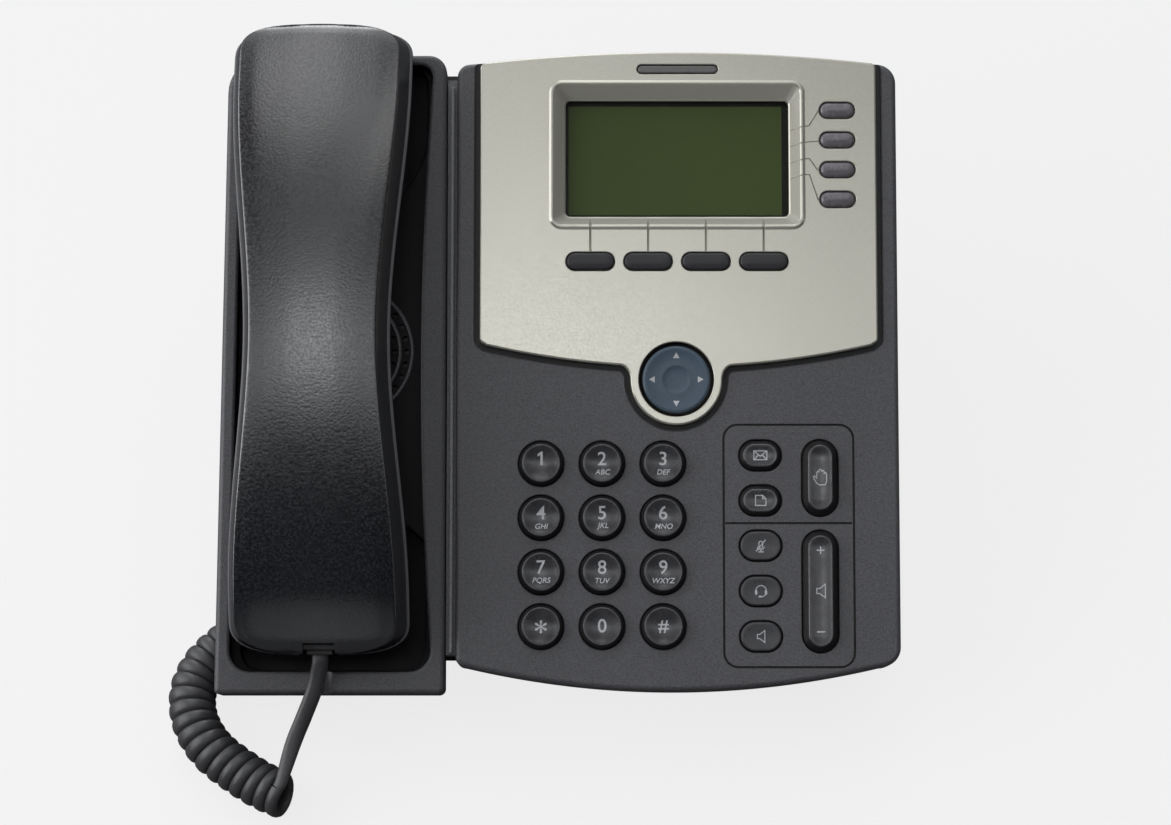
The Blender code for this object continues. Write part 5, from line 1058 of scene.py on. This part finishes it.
def make_nav_pad():
    """Round four-way pad with a shallow dish, a thumb dimple and four printed arrows."""
    skin = Skin()
    skirt, crown = (turned(NAV_PLACE, profile, PAD_STEPS) for profile in (NAV_SKIRT, NAV_CROWN))
    skin.cap(skin.two_tone(skirt, crown), True)
    dress(skin.place("pad", (SLATE, SKIRT_BLACK_AND_GROOVE_SHADE)), "nav_pad", "nav", "nav_pad")
    turns = [Matrix.Rotation(math.pi / 2.0 * k, 2) for k in range(4)]
    marks = [shape([turn @ Vector(point) for point in ARROW]) for turn in turns]
    print_on("arrows", "nav_pad", NAV_PLACE, marks, nav_top, 0.06)


make_dial_keys()
make_function_keys()
make_plate_keys()
make_nav_pad()

# Handset, drawn about its own middle
LENGTH, END_HALF, WAIST_HALF, WAIST_REACH, END_REACH = 196.0, 27.8, 22.6, 80.0, 11.0
HALF_LENGTH = LENGTH / 2.0
ARCH_TOP, ARCH_DROP = 28.0, 12.0
TIP_REACH, TIP_DROP = 4.0, 4.0
CHIN_REACH, CHIN_DROP = 20.0, 7.0
SPLIT, SEAM = 9.5, 0.3
CAP_HALF = 24.8
CAP_UNDER, CAP_FLOOR = -11.7, -9.7
EAR_CAP = (EAR_V, 24.8, 18.0)
MOUTH_CAP = (30.0, 28.0, 24.0)
CAP_SLOPES = ((160.0, 192.0, (12.0, 3.0)), (15.5, 50.0, (3.0, 12.0)))
HANDLE_UNDER, HANDLE_DROP = 11.0, 4.0
RECEIVER_Y, RECEIVER_RADIUS = 69.0, 15.6
MICROPHONE_Y, MICROPHONE_RADIUS = -75.0, 5.4
SOUND_HOLE, SOUND_RING = 1.2, 6.0
# Band of the front shell's ledge that is painted light grey as a painted highlight.
SEAM_HIGHLIGHT_IN, SEAM_HIGHLIGHT_DOWN = 0.8, 10.2
CHIN_OUT = -HALF_LENGTH - 2.0
JACK_ROOM = ((-6.0, CHIN_OUT, 0.1), (6.0, -82.2, 9.9))
PLUG_ROOM = ((-4.9, CHIN_OUT, 5.0), (4.9, -94.6, 20.0))
LEDGE = ((0.9, 0.0), (0.5, 0.02), (0.25, 0.1), (0.08, 0.28), (0.0, 0.55), (0.05, 0.95))
SHOULDER = ((0.85, 0.0), (1.05, 0.12), (2.1, 0.50), (2.9, 0.78), (3.2, 0.838), (3.65, 0.866), (5.5, 0.895),
            (9.0, 0.938))
CREST = ((0.36, 0.982), (0.18, 0.996), (0.0, 1.0))
FULL_HALF = 16.0
LEAN, LEAN_FROM = 0.09, 6.5


def handset_half(y):
    half = WAIST_HALF + (END_HALF - WAIST_HALF) * eased(abs(y) / WAIST_REACH)
    past = max(abs(y) - (HALF_LENGTH - END_REACH), 0.0) / END_REACH
    return half * max(1.0 - past ** 3, 0.008) ** (1.0 / 3.0)


def handset_arch(y):
    return ARCH_TOP - ARCH_DROP * (y / HALF_LENGTH) ** 2


def handset_crest(y):
    reach, drop = (TIP_REACH, TIP_DROP) if y > 0.0 else (CHIN_REACH, CHIN_DROP)
    past = max(abs(y) - (HALF_LENGTH - reach), 0.0) / reach
    return handset_arch(y) - drop * (1.0 - math.sqrt(max(1.0 - past * past, 0.0)))


def cap_half(v):
    """Half width of the ear and mouth caps, rounded towards the handle and towards the ends."""
    ear = v > HANDSET_V
    centre, inner_reach, outer_reach = EAR_CAP if ear else MOUTH_CAP
    inward = (v < centre) == ear
    ratio = abs(v - centre) / (inner_reach if inward else outer_reach)
    return CAP_HALF * math.sqrt(max(1.0 - ratio ** (2 if inward else 3), 0.13))


def cap_share(v):
    """How far the underside has gone from the handle's level to a cap's level."""
    share = 0.0
    for low, high, slopes in CAP_SLOPES:
        share += eased((v - low) / slopes[0] + 1.0) * eased((high - v) / slopes[1] + 1.0)
    return share


def stations():
    """Places along the handset, closer together at its ends."""
    quarter = math.pi / 2.0
    places = [-HALF_LENGTH + CHIN_REACH * (1.0 - math.cos(quarter * k / 14.0)) for k in range(14)]
    places += [-78.0 + 1.6 * k for k in range(103)]
    places += [86.8 + 7.2 * k / 8.0 for k in range(8)]
    places += [HALF_LENGTH - TIP_REACH * (1.0 - math.sin(quarter * k / 8.0)) for k in range(9)]
    return places


def back_section(y):
    """The back shell across one station, from its right seam over the crest to its left seam."""
    half, split = handset_half(y), handset_arch(y) - SPLIT
    rise = max(handset_crest(y) - split, SEAM)
    scale = min(half / FULL_HALF, 1.0)
    shoulder = [(half - side * scale, part) for side, part in SHOULDER]
    shoulder += [(half * side, part) for side, part in CREST]
    right = smooth_line([(x, split + rise * part) for x, part in shoulder], 4)
    return [(p.x, y, p.y) for p in right] + [(-p.x, y, p.y) for p in reversed(right[:-1])]


def front_section(y):
    """The front shell across one station: a ledge under the seam, then the handle or a cap."""
    half, top = handset_half(y), handset_arch(y) - SPLIT - SEAM
    scale = min(half / FULL_HALF, 1.0)
    share = cap_share(y + HANDSET_V)
    cap = min(cap_half(y + HANDSET_V), half - 0.7 * scale)
    handle = min(HANDLE_UNDER - HANDLE_DROP * (y / HALF_LENGTH) ** 2, top - 2.0)
    ledge = tuple((half - side * scale, top - drop) for side, drop in LEDGE)
    handle_side = ledge + ((half - 0.6 * scale, (top + handle) / 2.0), (half - 2.2 * scale, handle + 1.2),
                           (half - 5.5 * scale, handle))
    cap_side = ledge + ((half - 0.6 * scale, 2.0), (cap, 1.0), (cap - 0.3, CAP_UNDER))
    right = [(x + (cx - x) * share, w + (cw - w) * share)
             for (x, w), (cx, cw) in zip(handle_side, cap_side)]
    return [(x, y, w) for x, w in right] + [(-x, y, w) for x, w in reversed(right)]


def make_handset():
    """Back and front shells with a fine seam between them, leaning left as the photograph shows; the ledge
    under the seam carries a painted highlight.
    """
    back, front = Skin(), Skin()
    back.tube([back.section(back_section(y)) for y in stations()])
    front.tube([front.section(front_section(y)) for y in stations()])
    # The ledge under the seam is painted light grey as a painted highlight.
    for face in front.mesh.faces:
        x, y, w = face.calc_center_median()
        if handset_half(y) - abs(x) < SEAM_HIGHLIGHT_IN and w > handset_arch(y) - SEAM_HIGHLIGHT_DOWN:
            face.material_index = 1
    for skin in (back, front):
        for point in skin.mesh.verts:
            point.co.x -= LEAN * max(point.co.z - LEAN_FROM, 0.0)
    finishes = (HANDSET_SKIN, SEAM_HIGHLIGHT_GREY)
    back_shell = back.place("handset_back_shell", finishes, HANDSET)
    front_shell = front.place("handset_front_shell", finishes, HANDSET)
    for shell in (back_shell, front_shell):
        cut(shell, Skin().box(*JACK_ROOM), HANDSET)
    cut(back_shell, Skin().box(*PLUG_ROOM), HANDSET)
    holes = Skin()
    ring = [(p.x, p.y + RECEIVER_Y) for p in circle(SOUND_RING, 6)]
    for spot in [(0.0, MICROPHONE_Y), (0.0, RECEIVER_Y)] + ring:
        holes.prism(circle(SOUND_HOLE, 16, spot), -14.0, CAP_FLOOR)
    cut(front_shell, holes, HANDSET)
    for radius, y in ((RECEIVER_RADIUS, RECEIVER_Y), (MICROPHONE_RADIUS, MICROPHONE_Y)):
        cut(front_shell, Skin().prism(circle(radius, 48, (0.0, y)), CAP_FLOOR, ARCH_TOP), HANDSET)
    dress(back_shell, "handset", "charcoal", "handset_back")
    dress(front_shell, "handset", "charcoal", "handset_front")


make_handset()

# Solids that keep their shape: some with softened edges, the others with a finish only
SOFTENED = ((("rear_cover",), "base", COVER_SKIN, "charcoal", 0.3),
            (("desk_stand",), "base", COVER_SKIN, "charcoal", 0.4),
            (("front_foot_left", "front_foot_right", "stand_foot_left", "stand_foot_right"), "base",
             RUBBER, "rubber", 0.25),
            (("base_jack", "power_jack", "headset_jack"), "base", SOCKET_BLACK, "socket", 0.15),
            (("handset_jack",), "handset", SOCKET_BLACK, "socket", 0.15),
            (("network_jacks",), "base", STEEL, "metal", 0.2),
            (("hook_plunger",), "hook_plunger", SOCKET_BLACK, "socket", 0.2))
KEPT = {"base_plug": PLUG_CLEAR, "handset_plug": SOCKET_BLACK, "main_board": BOARD_GREEN,
        "key_membrane": RUBBER, "loudspeaker": SOCKET_BLACK, "hook_switch": SOCKET_BLACK,
        "handset_receiver": STEEL, "handset_microphone": STEEL, "nav_pivot": SOCKET_BLACK}


def soften(node, body, finish, slot, width):
    """A copy of a solid with its edges rounded off, standing for it."""
    source = bmesh.new()
    source.from_mesh(nodes[node].data)
    bmesh.ops.remove_doubles(source, verts=source.verts, dist=2e-6)
    bmesh.ops.dissolve_limit(source, angle_limit=math.radians(1.0), verts=source.verts, edges=source.edges)
    data = bpy.data.meshes.new(node + "_soft")
    source.to_mesh(data)
    source.free()
    data.materials.append(finish)
    piece = bpy.data.objects.new(node + "_soft", data)
    scene.collection.objects.link(piece)
    data.shade_smooth()
    data.set_sharp_from_angle(angle=SHARP)
    bevel = piece.modifiers.new("soft_edges", "BEVEL")
    bevel.width = MM * width
    bevel.segments = 3
    bevel.limit_method = "ANGLE"
    bevel.angle_limit = math.radians(50.0)
    bevel.harden_normals = True
    dress(piece, body, slot, node)


for names, *looks in SOFTENED:
    for node in names:
        soften(node, *looks)
for node, finish in KEPT.items():
    nodes[node].data.materials.clear()
    nodes[node].data.materials.append(finish)

# Floor, light and background
FLOOR_HALF = 4.0
FLOOR_GLOW = 0.88
# Brightness of the light tent from the front (0) to the back (1)
TENT_BANDS = ((0.0, 0.22), (0.08, 0.18), (0.13, 0.02), (0.265, 0.02), (0.295, 0.25), (0.31, 0.8),
              (0.33, 2.4), (0.355, 2.0), (0.375, 0.9), (0.39, 0.42), (0.42, 0.36), (0.55, 0.12),
              (0.72, 1.5), (0.93, 1.6), (1.0, 3.0))
# Factor on that brightness from the left (0) to the right (1)
SIDE_BANDS = ((0.0, 3.0), (0.06, 1.6), (0.15, 0.9), (0.27, 0.5), (0.35, 0.5), (0.43, 1.25), (0.485, 1.8),
              (0.52, 0.92), (0.545, 0.58), (0.58, 0.66), (0.62, 0.85), (0.66, 0.5), (1.0, 0.3))
# Each softbox's place and aim on the face, its size in metres and its power in watts
SOFTBOXES = {"left_softbox": ((-950.0, 310.0, 520.0), (0.0, 90.0, 0.0), (0.8, 1.0), 6.0),
             "back_softbox": ((-171.0, 622.0, 684.0), (-78.0, 185.0, 21.0), (0.20, 0.20), 0.15),
             "right_softbox": ((186.0, 565.0, 672.0), (-54.0, 165.0, 24.0), (0.16, 0.5), 0.28)}


def make_floor():
    """Pale floor that looks almost shadowless to the camera and darker in reflections."""
    half = FLOOR_HALF
    data = bpy.data.meshes.new("floor")
    data.from_pydata([(-half, -half, 0.0), (half, -half, 0.0), (half, half, 0.0), (-half, half, 0.0)], [],
                     [(0, 1, 2, 3)])
    floor = bpy.data.objects.new("floor", data)
    scene.collection.objects.link(floor)
    made = bpy.data.materials.new("floor")
    made.use_nodes = True
    tree = made.node_tree
    tree.nodes.clear()
    seen = add(tree, "ShaderNodeLightPath").outputs["Is Camera Ray"]
    shade = add(tree, "ShaderNodeMix", {"Factor": seen, 6: rgb(105, 105, 107), 7: rgb(240, 240, 240)},
                data_type="RGBA")
    diffuse = add(tree, "ShaderNodeBsdfDiffuse", {"Color": shade.outputs[2]})
    glow = add(tree, "ShaderNodeEmission", {"Color": rgb(245, 245, 245)})
    share = add(tree, "ShaderNodeMath", {0: seen, 1: FLOOR_GLOW}, operation="MULTIPLY")
    mix = add(tree, "ShaderNodeMixShader", {"Fac": share.outputs[0], 1: diffuse.outputs[0],
                                            2: glow.outputs[0]})
    add(tree, "ShaderNodeOutputMaterial", {"Surface": mix.outputs[0]})
    data.materials.append(made)


def make_world():
    """Light tent in bands, which only the reflections see; the camera sees a plain pale backdrop."""
    world = bpy.data.worlds.new("studio")
    scene.world = world
    world.use_nodes = True
    tree = world.node_tree
    tree.nodes.clear()
    place = add(tree, "ShaderNodeTexCoord").outputs["Generated"]
    split = add(tree, "ShaderNodeSeparateXYZ", {0: place})
    levels = {}
    for axis, bands, socket in (("Y", TENT_BANDS, "Color"), ("X", SIDE_BANDS, "Strength")):
        spread = add(tree, "ShaderNodeMapRange", {"Value": split.outputs[axis], "From Min": -1.0})
        ramp = add(tree, "ShaderNodeValToRGB", {"Fac": spread.outputs["Result"]})
        stops = ramp.color_ramp.elements
        for at, level in bands[1:-1]:
            stops.new(at)
        for stop, (at, level) in zip(stops, bands):
            stop.position = at
            stop.color = (level * 0.97, level * 0.985, level, 1.0)
        levels[socket] = ramp.outputs["Color"]
    tent = add(tree, "ShaderNodeBackground", levels)
    shown = add(tree, "ShaderNodeBackground", {"Color": rgb(242, 242, 242)})
    seen = add(tree, "ShaderNodeLightPath").outputs["Is Camera Ray"]
    mix = add(tree, "ShaderNodeMixShader", {"Fac": seen, 1: tent.outputs[0], 2: shown.outputs[0]})
    add(tree, "ShaderNodeOutputWorld", {"Surface": mix.outputs[0]})


def make_lamp(name, place, aim, size, power):
    data = bpy.data.lights.new(name, "AREA")
    data.shape = "RECTANGLE"
    data.size, data.size_y = size
    data.energy = power
    lamp = bpy.data.objects.new(name, data)
    scene.collection.objects.link(lamp)
    lamp.location = FACE @ Vector(place)
    towards = FACE @ Vector(aim) - FACE @ Vector(place)
    lamp.rotation_euler = towards.to_track_quat("-Z", "Y").to_euler()


make_floor()
make_world()
for name, softbox in SOFTBOXES.items():
    make_lamp(name, *softbox)
